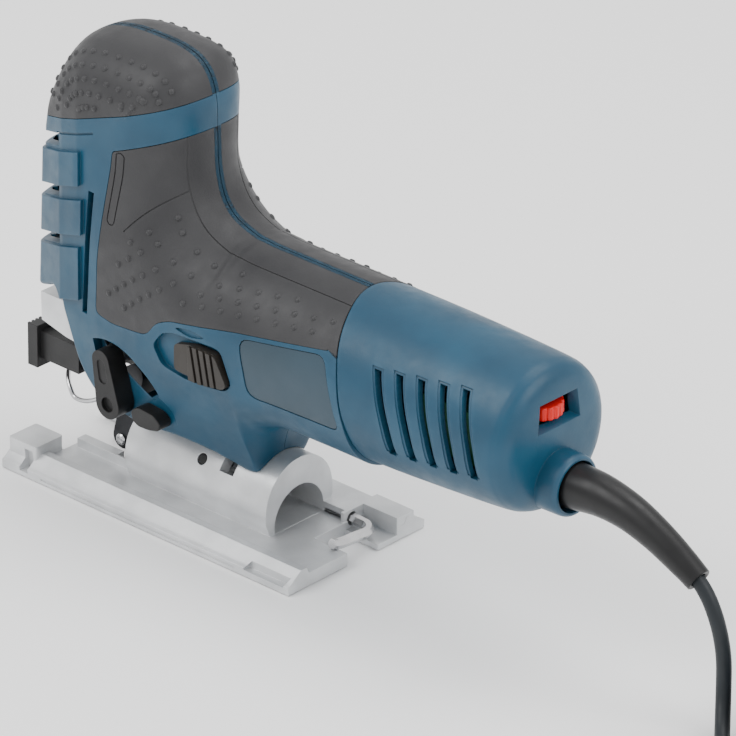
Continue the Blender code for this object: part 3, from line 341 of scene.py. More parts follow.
def swept(name, line, radii, sides=20):
    """Round tube of changing radius along a line: at each point a circle square to the line, kept from
    turning by carrying one side direction along."""
    line = np.asarray(line, float)
    ahead = np.gradient(line, axis=0)
    ahead /= np.linalg.norm(ahead, axis=1)[:, None]
    side = np.cross(ahead, (0.0, 0.0, 1.0) if abs(ahead[0, 2]) < 0.9 else (0.0, 1.0, 0.0))
    side /= np.linalg.norm(side, axis=1)[:, None]
    over = np.cross(side, ahead)
    angle = np.linspace(0.0, 2 * math.pi, sides, endpoint=False)[None, :, None]
    radii = np.broadcast_to(radii, len(line))
    around = side[:, None, :] * np.cos(angle) + over[:, None, :] * np.sin(angle)
    return lofted(name, line[:, None, :] + around * radii[:, None, None])


def plug_shape():
    """Rings along the plug: each a flattened oval whose half-height and half-width grow to the body."""
    run = np.array((0.0, 0.6, 6.0, 12.0, 18.0, 23.0, 27.0, 29.5, 31.0, 44.0, 52.0, 57.5, 59.2, 60.0))
    high = np.interp(run, (0.0, 20.0, 28.0, 58.0, 60.0), (4.2, 6.0, 8.9, 9.0, 8.0))
    stages = (0.0, 20.0, 27.0, 31.0, 46.0, 58.0, 60.0)
    wide = np.interp(run, stages, (4.2, 7.5, 11.5, 13.0, 14.2, 15.5, 14.3))
    high[:1] -= 0.6
    wide[:1] -= 0.6
    angle = np.linspace(0.0, 2 * math.pi, 56, endpoint=False)
    squareness = 2 / 2.6
    c = np.sign(np.cos(angle)) * abs(np.cos(angle)) ** squareness
    s = np.sign(np.sin(angle)) * abs(np.sin(angle)) ** squareness
    x = PLUG_TAIL[0] + wide[:, None] * c
    y = np.broadcast_to((PLUG_TAIL[1] + run)[:, None], x.shape)
    z = COIL_TOP + high[:, None] * (1 + s)
    return np.stack((x, y, z), axis=-1)


plug_rubber = moulded("plug_rubber", (0.022, 0.023, 0.025), (0.034, 0.035, 0.038), 0.42, 0.35, 0.0)
plug = piece(lofted("mains_plug", plug_shape()), "body", ["plug_body"], plug_rubber, 40.0)


def coil_tie():
    """Flat strap round the bundle: a rounded rectangle in the (radius, height) plane, 9 mm wide."""
    angle = np.linspace(0.0, 2 * math.pi, 64, endpoint=False)
    c = np.sign(np.cos(angle)) * abs(np.cos(angle)) ** 0.45
    s = np.sign(np.sin(angle)) * abs(np.sin(angle)) ** 0.45
    middle = 0.5 * (COIL_RADII[0] + COIL_RADII[-1])
    facing = math.radians(48.0)
    out = np.array((math.cos(facing), math.sin(facing), 0.0))
    along = np.array((-math.sin(facing), math.cos(facing), 0.0))
    centre = np.array((*COIL_CENTRE, 13.1)) + out * middle
    rings = []
    for grow, shift in ((0.0, -4.5), (1.1, -4.2), (1.1, 4.2), (0.0, 4.5)):
        ring = centre + out * ((9.6 + grow) * c)[:, None] + along * shift
        ring[:, 2] += (12.8 + 0.25 * grow) * s
        rings.append(ring)
    return lofted("coil_tie", np.array(rings).transpose(1, 0, 2), closed=True)


strap_weave = moulded("strap_weave", (0.02, 0.02, 0.022), (0.05, 0.05, 0.055), 0.85, 1.0, 0.0)
tie = piece(coil_tie(), "body", [], strap_weave)
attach(mains_cord, "body")
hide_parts("cord_lead", "cord_coil")


# ---------------------------------------------------------------------------------------------
# Bend sleeve. Black rubber, moulded over the cord, gripped in the boss at the barrel's end. It
# tapers in a long curve and ends in a thick rim that the cord leaves through a round mouth.

SLEEVE_ROUTE = (
    (182.5, 0.0, 75.6), (189.0, 0.0, 75.8), (196.0, 0.0, 76.2), (209.0, 0.0, 76.6), (223.0, 0.0, 74.4),
    (237.0, 0.0, 69.3), (250.0, 0.0, 62.6), (257.5, 0.0, 58.2),
)


def sleeve_shape():
    """Circles along the sleeve's line. At the mouth the surface turns in and runs back round the cord."""
    line = smooth_line(SLEEVE_ROUTE, 60)
    run = np.linspace(0.0, 1.0, 60)
    stages = (0.0, 0.17, 0.2, 0.32, 0.5, 0.7, 0.9, 1.0)
    radii = np.interp(run, stages, (9.9, 9.9, 9.7, 9.2, 7.9, 6.7, 5.7, 5.4))
    back = line[-1] - line[-2]
    back /= np.linalg.norm(back)
    rim = line[-1] + back * np.array((0.3, 0.35, -0.2, -5.0))[:, None]
    line = np.vstack((line, rim))
    radii = np.concatenate((radii, (5.1, 4.4, 3.5, 3.3)))
    ahead = np.gradient(line[:60], axis=0)
    ahead = np.vstack((ahead, np.repeat(back[None], 4, axis=0)))
    ahead /= np.linalg.norm(ahead, axis=1)[:, None]
    side = np.array((0.0, 1.0, 0.0))
    over = np.cross(ahead, side)
    angle = np.linspace(0.0, 2 * math.pi, 48, endpoint=False)[None, :, None]
    around = side * np.cos(angle) + over[:, None, :] * np.sin(angle)
    return line[:, None, :] + around * radii[:, None, None]


sleeve_rubber = moulded("sleeve_rubber", (0.004, 0.004, 0.0045), (0.008, 0.008, 0.0085), 0.38, 0.12, 0.0)
piece(lofted("cord_sleeve", sleeve_shape()), "body", ["bend_sleeve"], sleeve_rubber, 40.0)


# ---------------------------------------------------------------------------------------------
# Clamshells. Two halves of glass-filled nylon, moulded in blue and screwed together from the
# right. They hold everything, and carry the front louvres, the saddle and the lever recesses.

STATIONS = (
    # top x, top z, bottom x, bottom z, top radius, bottom radius, top fullness
    (-78.0, 150.0, -84.0, 71.0, 6.0, 5.0, 2.0),
    (-76.5, 163.0, -79.0, 73.0, 9.0, 5.0, 2.0),
    (-72.0, 176.0, -72.0, 76.0, 15.0, 5.0, 2.0),
    (-64.0, 187.0, -65.0, 79.0, 21.0, 5.0, 2.1),
    (-54.0, 193.5, -60.0, 76.0, 22.0, 5.0, 2.2),
    (-42.0, 196.6, -56.0, 66.0, 23.0, 5.0, 2.2),
    (-28.0, 197.3, -50.5, 51.0, 24.0, 5.0, 2.2),
    (-15.0, 196.7, -43.0, 40.5, 25.0, 6.0, 2.2),
    (-6.0, 194.0, -33.0, 35.8, 28.0, 6.0, 2.3),
    (0.0, 188.0, -22.0, 34.5, 32.0, 6.0, 2.4),
    (3.0, 178.0, -12.0, 34.5, 36.0, 6.0, 2.6),
    (3.4, 163.0, -3.0, 34.5, 34.0, 6.0, 2.5),
    (4.2, 149.0, 7.0, 33.5, 30.0, 6.0, 2.3),
    (7.5, 137.5, 17.0, 31.5, 28.0, 6.0, 2.2),
    (14.0, 130.5, 27.0, 28.5, 30.0, 6.0, 2.1),
    (25.0, 126.5, 38.5, 26.5, 33.0, 6.0, 2.0),
    (30.0, 126.0, 40.5, 40.0, 34.0, 12.0, 2.0),
    (36.0, 125.6, 45.0, 50.0, 35.0, 22.0, 2.0),
    (50.0, 125.5, 57.0, 55.0, 35.0, 32.0, 2.0),
    (80.0, 125.5, 80.0, 55.5, 35.0, 35.0, 2.0),
    (108.0, 125.4, 108.0, 55.6, 35.0, 35.0, 2.0),
)
BODY_ROWS = 170
BODY_COLUMNS = 76
NOSE_START = 0.02      # the first row, just behind the nose line, where the surface has some width
HUB_Z = 16.0           # height of the axis that the base tilts on
HUB_OUTER = 19.5


def body_rows(first=0.0):
    """The stations, smoothly interpolated along the body, closer together at the nose."""
    even = np.linspace(0.0, 1.0, BODY_ROWS)
    spread = 0.55 * even + 0.45 * even ** 2
    along = first + (len(STATIONS) - 1 - first) * spread
    whole = smooth_line(STATIONS, 1200)
    place = along / (len(STATIONS) - 1) * 1199
    return np.column_stack([np.interp(place, np.arange(1200), whole[:, k]) for k in range(7)])


TOP_LINE = np.vstack(((-84.0, 71.0, 0.0, 0.0, 8.0, 0.0, 2.2), smooth_line(STATIONS, 120)))


def half_width(x, z):
    """Half width of the body before its rims are rounded: a plan curve that narrows into the knob above
    z 104 and into the foot below z 75."""
    plan = np.interp(x, (-84.0, -58.0, -35.0, -10.0, 30.0), (15.5, 26.0, 30.5, 33.5, 35.0))
    rise = np.clip((z - 104.0) / 46.0, 0.0, 1.0)
    rise = np.where(x > 25.0, 0.0, rise * rise * (3 - 2 * rise))
    knob = np.minimum(plan, 28.0)
    waist = np.clip(1 - abs(z - 146.0) / 30.0, 0.0, 1.0) * np.clip((x + 40.0) / 25.0, 0.0, 1.0)
    knob = knob + (26.0 - knob) * waist
    plan = plan + (knob - plan) * rise
    fall = np.clip((75.0 - z) / 41.0, 0.0, 1.15)
    taper = np.interp(x, (-50.0, -10.0, 20.0, 40.0, 52.0), (0.14, 0.20, 0.45, 0.55, 0.0))
    return plan * (1 - taper * fall)


def quarter_round(depth, radius, fullness):
    """Share of the full width reached at a depth under a rim: a superellipse of that fullness."""
    reach = np.minimum(depth / radius, 1.0)
    return (1 - (1 - reach) ** fullness) ** (1 / fullness)


def top_round(x, z):
    """Rounding from the shortest distance to the body's outline over the nose and the top."""
    start = TOP_LINE[:-1, :2]
    run = TOP_LINE[1:, :2] - start
    place = np.stack((x, z), axis=-1)[..., None, :]
    share = np.clip(((place - start) * run).sum(-1) / (run * run).sum(-1), 0.0, 1.0)
    gap = np.linalg.norm(start + run * share[..., None] - place, axis=-1)
    best = gap.argmin(-1)
    part = np.take_along_axis(share, best[..., None], -1)[..., 0]
    radius = TOP_LINE[best, 4] + (TOP_LINE[best + 1, 4] - TOP_LINE[best, 4]) * part
    fullness = TOP_LINE[best, 6] + (TOP_LINE[best + 1, 6] - TOP_LINE[best, 6]) * part
    return quarter_round(gap.min(-1), radius, fullness)


def skin_width(x, z):
    """Half width of the finished surface above its bottom rounding."""
    x, z = np.broadcast_arrays(np.asarray(x, float), np.asarray(z, float))
    return half_width(x, z) * top_round(x, z)


def body_half(side, inset=0.0, from_y=0.15, rear=0.0, first=None):
    """One half of the body. Rows run along it and columns go up from its bottom line to its top line,
    crowded at both rims. inset moves the surface inwards for a hollow, or outwards if negative."""
    if first is None:
        first = 1.0 if inset > 0 else NOSE_START
    rows = body_rows(first)
    share = 0.5 - 0.5 * np.cos(np.linspace(0.0, math.pi, BODY_COLUMNS))
    top = rows[:, None, 0:2]
    low = rows[:, None, 2:4]
    length = np.linalg.norm(top - low, axis=-1)
    along = (top - low) / length[..., None]
    place = low + (top - low) * share[None, :, None]
    width = half_width(place[..., 0], place[..., 1]) - inset
    width = width * quarter_round(length * share[None, :], rows[:, 5:6], 2.2)
    width = width * top_round(place[..., 0], place[..., 1])
    shrink = max(inset, 0.0)
    reach = (shrink + (length - 2 * shrink) * share[None, :])[..., None]
    inner = low + along * reach
    width = np.maximum(width, min(from_y, 0.15))
    width[:, 0] = from_y
    width[:, -1] = from_y
    rings = np.stack((inner[..., 0], side * width, inner[..., 1]), axis=-1)
    if inset > 0:
        rings[0, :, 0] += min(inset, 2.6)
    if rear:
        last = rings[-1:].copy()
        last[..., 0] += rear
        rings = np.concatenate((rings, last))
    return lofted("body_half", rings)


def boolean(obj, others, operation):
    """Changes a mesh by a boolean with each of the others, which are used up."""
    for other in others:
        step = obj.modifiers.new(operation, "BOOLEAN")
        step.operation = operation
        step.solver = "MANIFOLD"
        step.object = other
        graph = bpy.context.evaluated_depsgraph_get()
        mesh = bpy.data.meshes.new_from_object(obj.evaluated_get(graph))
        obj.modifiers.clear()
        obj.data = mesh
        bpy.data.objects.remove(other, do_unlink=True)
    return obj


def cut(obj, *others):
    """obj less the others."""
    return boolean(obj, others, "DIFFERENCE")


def prism(outline, axis, low, high):
    """Straight solid with an outline square to an axis: (x, z) for Y, (y, z) for X and (x, y) for Z."""
    flat = np.array(outline, float)
    ends = [np.full(len(flat), low), np.full(len(flat), high)]
    order = {"X": (2, 0, 1), "Y": (0, 2, 1), "Z": (0, 1, 2)}[axis]
    rings = [np.column_stack((flat, level))[:, order] for level in ends]
    return lofted("prism", rings)


def together(*objs):
    """Separate solids that don't touch, as one mesh."""
    first = objs[0]
    shell = bmesh.new()
    for obj in objs:
        shell.from_mesh(obj.data)
    shell.to_mesh(first.data)
    shell.free()
    for obj in objs[1:]:
        bpy.data.objects.remove(obj, do_unlink=True)
    return first


def turned(profile, axis, centre, sides=64):
    """Turned solid: each (position along the axis, radius) is a circle round the axis through centre."""
    angle = np.linspace(0.0, 2 * math.pi, sides, endpoint=False)
    a, b = centre
    rings = []
    for level, radius in profile:
        u = a + radius * np.cos(angle)
        v = b + radius * np.sin(angle)
        w = np.full(sides, float(level))
        rings.append(np.column_stack({"X": (w, u, v), "Y": (u, w, v), "Z": (u, v, w)}[axis]))
    return lofted("turned", rings)


def fillet(outline, radius, steps=5):
    """Outline with each corner replaced by a curve: a quadratic arc that starts and ends at most
    radius from the corner."""
    points = np.array(outline, float)
    before = np.roll(points, 1, axis=0) - points
    after = np.roll(points, -1, axis=0) - points
    near = np.linalg.norm(before, axis=1)[:, None]
    far = np.linalg.norm(after, axis=1)[:, None]
    start = points + before / near * np.minimum(radius, near * 0.45)
    end = points + after / far * np.minimum(radius, far * 0.45)
    t = np.linspace(0.0, 1.0, steps)[None, :, None]
    curve_points = start[:, None] * (1 - t) ** 2 + 2 * points[:, None] * t * (1 - t) + end[:, None] * t ** 2
    return curve_points.reshape(-1, 2)


CAP_JOINT = (
    (84.5, 127.5), (90.0, 121.0), (95.0, 110.5), (99.0, 100.5), (101.8, 88.7), (104.0, 76.5), (105.5, 50.0),
)
CAP_JOINT = smooth_line(CAP_JOINT, 40)
GRIP_LINE = (
    (-28.0, 156.2), (-30.0, 143.0), (-32.0, 124.5), (-34.0, 106.0), (-35.0, 82.5), (-25.0, 81.5),
    (-4.0, 84.5), (2.0, 92.0), (10.0, 95.6), (45.0, 102.2), (92.0, 109.2),
)
PLATE_LINE = ((46.5, 100.6), (90.5, 107.3), (96.5, 94.0), (101.0, 78.0), (52.5, 76.6), (50.0, 88.0))
SWITCH_LINE = (
    (-0.4, 81.5), (5.0, 88.6), (12.0, 91.0), (34.0, 92.5), (38.0, 91.8), (44.0, 78.5), (40.0, 75.0),
    (26.0, 72.8), (17.0, 72.0), (5.0, 74.0),
)
SCREW_PLACES = ((-22.0, 60.0), (60.0, 66.0), (-50.0, 92.0), (8.0, 70.0))
ORBIT_PIVOT = (-25.5, 45.5)
BLOWER_PIVOT = (-8.0, 45.0)


def grip_outline(swell):
    """Side view of the soft side grip, widened all round by swell, up to the motor cap's joint."""
    low = np.array(GRIP_LINE)
    away = low - (20.0, 120.0)
    low = low + away / np.linalg.norm(away, axis=1)[:, None] * swell
    rounded = fillet(low, 3.0)[2:-2]
    joint = CAP_JOINT[:16][::-1] + (-0.3 if not swell else 6.0, 0.0)
    crown = np.array(((joint[-1][0], 140.0), (30.0, 150.0), (14.0, 171.5 + swell)))
    return np.vstack((rounded, joint, crown))


def knob_outline(lift):
    """Side view above the sloping edge of the blue band."""
    low = 180.5 + 0.36 * np.array((-110.0, 30.0)) + lift
    return ((-110.0, low[0]), (30.0, low[1]), (30.0, 230.0), (-110.0, 230.0))


def cap_side(x_shift, rearward):
    """Side view of all that lies on one side of the motor cap's joint."""
    far = 260.0 if rearward else -140.0
    line = CAP_JOINT + (x_shift, 0.0)
    return np.vstack(((line[0][0], 240.0), line, (line[-1][0], 10.0), (far, 10.0), (far, 240.0)))


def arc(centre, radius, start, stop, steps):
    """Points of an arc, angles in degrees."""
    angle = np.radians(np.linspace(start, stop, steps))
    return np.column_stack((centre[0] + radius * np.cos(angle), centre[1] + radius * np.sin(angle)))


def on_side(outline, side, depth):
    """Shallow cutter: the outline's prism from the surface of one half down to a depth below it."""
    return cut(prism(outline, "Y", side * 2.0, side * 60.0), body_half(side, depth, -5.0, 20.0, NOSE_START))


def louvre_blocks(side):
    """Three blocks that stand 1.8 mm proud of the nose, their edges falling towards the front."""
    slope = 0.35
    front = -95.0
    level = -46.0      # where the given heights hold
    blocks = []
    for top, low, rear in ((149.6, 134.6, -45.4), (128.4, 113.0, -43.6), (107.4, 84.0, -45.2)):
        drop = slope * (front - level)
        rise = slope * (rear - level)
        line = ((front, low + drop), (rear, low + rise), (rear, top + rise), (front, top + drop))
        blocks.append(prism(line, "Y", side * 4.0, side * 60.0))
    return boolean(together(*blocks), [body_half(side, -1.8)], "INTERSECT")


def cooling_slots(side):
    """Three gaps between the blocks, open through the nose and falling towards the front."""
    slots = []
    for middle, height in ((154.0, 5.6), (131.4, 5.2), (110.0, 4.8)):
        front = middle - 18.9
        rear = middle - 5.1
        half = height / 2
        line = ((-100.0, front - half), (-60.5, rear - half), (-60.5, rear + half), (-100.0, front + half))
        slots.append(prism(line, "Y", side * -5, side * 40))
    return together(*slots)


def cut_controls(shell, side):
    """Recesses and holes of the left half: switch, its window, both levers, a finger dish and four pips."""
    cut(shell, prism(fillet(SWITCH_LINE, 2.5), "Y", -31.6, -45))
    cut(shell, prism(((12, 75.6), (37, 75.6), (37, 84.4), (12, 84.4)), "Y", -20, -45))
    low = arc(ORBIT_PIVOT, 8.0, -20.0, -150.0, 16)
    fan = np.vstack((arc(ORBIT_PIVOT, 27.0, 118.0, 24.0, 28), low))
    nest = fillet(((-16.0, 30.0), (-14.0, 51.0), (-4.0, 58.0), (5.0, 51.0), (6.5, 30.0)), 4.0)
    cut(shell, prism(fan, "Y", -24.6, -45))
    cut(shell, prism(nest, "Y", -25.6, -45))
    for pivot in (ORBIT_PIVOT, BLOWER_PIVOT):
        cut(shell, turned(((-45, 2.3), (-15, 2.3)), "Y", pivot))
    dish = fillet(((11.0, 93.4), (20.0, 95.6), (30.5, 94.8), (21.0, 92.0)), 4.0)
    cut(shell, on_side(dish, side, 0.9))
    places = arc(ORBIT_PIVOT, 24.0, 92.0, 33.0, 4)
    cut(shell, together(*(turned(((-45, 0.9), (-24.0, 0.9)), "Y", place, 16) for place in places)))


def cut_screw_holes(shell):
    """Stepped holes of the right half: each goes in to a seat 6 mm under the surface."""
    for x, z in SCREW_PLACES:
        seat = float(skin_width(x, z)) - 6.0
        cut(shell, turned(((15, 1.9), (seat, 1.9), (seat + 0.01, 4.2), (60, 4.2)), "Y", (x, z)))


def make_clamshell(side):
    """The half body with its blocks added and its hollow, pockets, slots, saddle and holes cut."""
    shell = boolean(body_half(side), [louvre_blocks(side)], "UNION")
    boolean(shell, [prism(cap_side(-0.3, False), "Y", -60, 60)], "INTERSECT")
    hollow = body_half(side, 4.4, -1.0, 10.0)
    cut(hollow, prism(((-44, -50), (60, -50), (60, 50), (-44, 50)), "Z", 20, 41))
    cut(shell, hollow)
    cut(shell, on_side(knob_outline(-0.3), side, 1.8), on_side(grip_outline(0.35), side, 1.8))
    cut(shell, cooling_slots(side))
    step = ((-62.0, 151.0), (-38.5, 159.2), (-38.5, 160.2), (-62.0, 152.0))
    cut(shell, on_side(step, side, 0.7))
    gap = ((-44.5, 79.0), (-41.3, 79.0), (-37.6, 134.0), (-40.8, 134.0))
    cut(shell, prism(gap, "Y", side * 18, side * 45))
    nose = ((-95.0, 24.0), (-27.0, 24.0), (-27.0, 55.0), (-47.0, 84.0), (-95.0, 84.0))
    cut(shell, prism(nose, "Y", side * -1, side * 15.2))
    cut(shell, turned(((-60, HUB_OUTER + 0.3), (60, HUB_OUTER + 0.3)), "X", (0.0, HUB_Z), 96))
    cut(shell, turned(((20, 3.4), (60, 3.4)), "Z", (24.0, 0.0)))
    cut(shell, on_side(fillet(PLATE_LINE, 5.0), side, 0.9))
    if side < 0:
        cut_controls(shell, side)
    else:
        cut_screw_holes(shell)
    return shell


blue_dark = (0.006, 0.046, 0.086)
blue_light = (0.009, 0.062, 0.112)
shell_plastic = moulded("shell_plastic", blue_dark, blue_light, 0.40, 0.38, 0.00045, 0.35)
for label, side in (("left", -1), ("right", 1)):
    shell = make_clamshell(side)
    shell.name = label + "_clamshell"
    piece(shell, "body", [label + "_shell"], shell_plastic)


# ---------------------------------------------------------------------------------------------
# Soft grips. Grey rubber moulded over the knob and down both sides, with rows of raised dots
# where the hand presses and a smooth strip along the middle seam.

DOT_SIDES = 12


def domes(name, places, normals, radius=1.3, height=0.75):
    """Raised dots: at each place four rings that shrink as they rise, square to the surface there."""
    angle = np.linspace(0.0, 2 * math.pi, DOT_SIDES, endpoint=False)[None, :, None]
    helper = np.where(abs(normals[:, 2:]) > 0.9, (0.0, 1.0, 0.0), (0.0, 0.0, 1.0))
    u = np.cross(normals, helper)
    u /= np.linalg.norm(u, axis=1)[:, None]
    v = np.cross(normals, u)
    rim = u[:, None] * np.cos(angle) + v[:, None] * np.sin(angle)
    levels = ((radius * 1.15, -0.3), (radius, 0.1), (radius * 0.78, height * 0.75), (radius * 0.35, height))
    points = np.stack([places[:, None] + rim * r + normals[:, None] * h for r, h in levels], axis=1)
    count = len(places)
    size = len(levels) * DOT_SIDES
    base = (np.arange(count) * size)[:, None, None]
    ring = base + (np.arange(len(levels) - 1) * DOT_SIDES)[None, :, None]
    above = ring + DOT_SIDES
    step = np.arange(DOT_SIDES)[None, None, :]
    ahead = (step + 1) % DOT_SIDES
    quads = np.stack((ring + step, ring + ahead, above + ahead, above + step), axis=-1)
    faces = quads.reshape(-1, 4).tolist()
    for k in range(count):
        faces.append(list(range(k * size, k * size + DOT_SIDES)))
        faces.append(list(range((k + 1) * size - DOT_SIDES, (k + 1) * size)))
    return make_mesh(name, points.reshape(-1, 3), faces)


def on_skin(x, z, side):
    """Places on one side's surface over (x, z), and the normals there from the width's slopes."""
    width = skin_width(x, z)
    slope_x = (skin_width(x + 0.2, z) - skin_width(x - 0.2, z)) / 0.4
    slope_z = (skin_width(x, z + 0.2) - skin_width(x, z - 0.2)) / 0.4
    normal = np.column_stack((-slope_x, np.full(len(x), side * 1.0), -slope_z))
    normal /= np.linalg.norm(normal, axis=1)[:, None]
    return np.column_stack((x, side * width, z)), normal


def side_dots():
    """Four bowed rows that climb across the neck, and slanting columns along the barrel's flank."""
    # where each bowed row starts, its number of dots and their first spacing
    rows = ((-14.8, 121.0, 4, 7.8), (-20.7, 109.4, 7, 5.7), (-26.8, 94.4, 9, 4.5), (-17.0, 91.6, 9, 4.4))
    spots = []
    for x0, z0, count, pitch in rows:
        i = np.arange(count)
        dx = pitch * i + 0.165 * i ** 2
        spots.append(np.column_stack((x0 + dx, z0 + 0.8 * dx - 0.0022 * dx ** 2)))
    for j in range(8):
        k = np.arange(6)
        spots.append(np.column_stack((15.7 + 9.2 * j + 6.6 * k, 105.0 + 1.1 * j + 4.9 * k)))
    spots = np.vstack(spots)
    x, z = spots[:, 0], spots[:, 1]
    roof = np.interp(x, (-40, 0, 7.5, 14, 25, 90), (190, 160, 137.5, 130.5, 126.5, 125.5))
    joint = np.interp(z, CAP_JOINT[::-1, 1], CAP_JOINT[::-1, 0])
    keep = (z < roof - 6.0) & (x < joint - 5.0) & (z > 88.0)
    return spots[keep, 0], spots[keep, 1]


def knob_dots():
    """Staggered rows that follow the knob's top outline down to the band, off the middle strip."""
    line = smooth_line(STATIONS, 400)[:, :2]
    run = np.concatenate(((0.0,), np.cumsum(np.linalg.norm(np.diff(line, axis=0), axis=1))))
    ahead = np.gradient(line, axis=0)
    ahead /= np.linalg.norm(ahead, axis=1)[:, None]
    inward = np.column_stack((ahead[:, 1], -ahead[:, 0]))
    spots = []
    for row, depth in enumerate((5.2, 9.5, 14.5, 20.0, 26.0)):
        at = np.arange(16.0 + 3.6 * (row % 2), 150.0, 7.2)
        index = np.searchsorted(run, at)
        spots.append(line[index] + inward[index] * depth)
    spots = np.vstack(spots)
    x, z = spots[:, 0], spots[:, 1]
    keep = (z > 180.5 + 0.36 * x + 3.5) & (x < 0.0)
    return x[keep], z[keep]


def pill(x, z0, z1, half):
    """Upright rounded bar in the side view, leaning with the grip's front edge."""
    lean = 0.105
    top = arc((x + lean * (z1 - z0), z1), half, 0.0, 180.0, 12)
    low = arc((x, z0), half, 180.0, 360.0, 12)
    return np.vstack((top, low))


def make_side_grip(side):
    """Half body inside the grip outline, less all that lies deeper than the skin, with its grooves."""
    grip = boolean(body_half(side), [prism(grip_outline(0.0), "Y", -60, 60)], "INTERSECT")
    cut(grip, body_half(side, 1.5, -5.0, 20.0, NOSE_START))
    badge = on_side(pill(-27.2, 126.0, 153.5, 2.3), side, 0.45)
    cut(badge, on_side(pill(-27.2, 126.0, 153.5, 1.7), side, 0.5))
    cut(grip, badge)
    arch = smooth_line(((-19.5, 124.0), (-10.2, 134.0), (-1.0, 141.6), (12.5, 150.5)), 24)
    crease = prism(np.vstack((arch, arch[::-1] + (0.25, -0.45))), "Y", side * 14, side * 60)
    cut(crease, body_half(side, 0.4, -5.0, 20.0, NOSE_START))
    cut(grip, crease)
    near, far = side * 14.0, side * 14.5
    seam = prism(((-40.0, near), (120.0, near), (120.0, far), (-40.0, far)), "Z", 100, 172)
    cut(grip, cut(seam, body_half(side, 0.45, -5.0, 20.0, NOSE_START)))
    return grip


def make_knob_grip(side):
    """Half body above the band, less all that lies deeper than the skin."""
    grip = boolean(body_half(side), [prism(knob_outline(0.0), "Y", -60, 60)], "INTERSECT")
    cut(grip, body_half(side, 1.5, -5.0, 20.0, NOSE_START))
    return grip


grip_rubber = moulded("grip_rubber", (0.024, 0.024, 0.026), (0.034, 0.034, 0.036), 0.50, 0.7, 0.0004, 0.12)
for label, side in (("left", -1), ("right", 1)):
    knob = make_knob_grip(side)
    knob.name = label + "_knob_cover"
    piece(knob, "body", [label + "_knob_grip"], grip_rubber)
    panel = make_side_grip(side)
    panel.name = label + "_grip_panel"
    piece(panel, "body", [label + "_side_grip"], grip_rubber)
    for kind, spots in (("knob", knob_dots()), ("grip", side_dots())):
        dots = domes(f"{label}_{kind}_dots", *on_skin(*spots, side))
        piece(dots, "body", [], grip_rubber, 60.0)


# ---------------------------------------------------------------------------------------------
# Blank plates. Thin printed film, stuck into a shallow pocket on each side of the barrel, with a
# narrow shadow gap all round.

def make_plate(side):
    """Half body between 0.25 and 0.85 mm deep, inside the pocket's outline drawn in by 0.4 mm."""
    line = np.array(PLATE_LINE)
    line = line + ((76.0, 90.0) - line) * (0.014, 0.022)
    film = body_half(side, 0.25, 0.15, 0.0, NOSE_START)
    boolean(film, [prism(fillet(line, 4.8), "Y", -60, 60)], "INTERSECT")
    return cut(film, body_half(side, 0.85, -5.0, 20.0, NOSE_START))


plate_film = moulded("plate_film", (0.022, 0.044, 0.062), (0.028, 0.054, 0.076), 0.42, 0.12)
for label, side in (("left", -1), ("right", 1)):
    film = make_plate(side)
    film.name = label + "_film"
    piece(film, "body", [label + "_plate"], plate_film)


# ---------------------------------------------------------------------------------------------
# Motor cap. One tapered blue moulding that slides over the motor from the rear. It has five bowed
# cooling slots a side, a facetted scoop for the dial and a short round boss for the bend sleeve.

BOSS_AXIS = (0.0, 75.6)      # y and z of the bend sleeve's seat
SLOT_PLACES = [(115.6 + 10.5 * k, 109.4 + 1.1 * k) for k in range(5)]


def barrel(profile, count, sides=128):
    """Circles round a line that rises slowly: each row is (x, height of the centre, radius)."""
    rows = smooth_line(profile, count)
    angle = np.linspace(0.0, 2 * math.pi, sides, endpoint=False)
    y = rows[:, 2:3] * np.cos(angle)
    z = rows[:, 1:2] + rows[:, 2:3] * np.sin(angle)
    return lofted("barrel", np.stack((np.broadcast_to(rows[:, 0:1], y.shape), y, z), axis=-1))


def slot_line(x, z, front, rear):
    """Bowed band that leans back as it goes down, from front to rear of the line through (x, z)."""
    line = smooth_line(((x, z), (x + 4.8, z - 9.5), (x + 9.0, z - 20.5), (x + 10.8, z - 32.5)), 14)
    return np.vstack((line + (front, 0.0), line[::-1] + (rear, 0.0)))


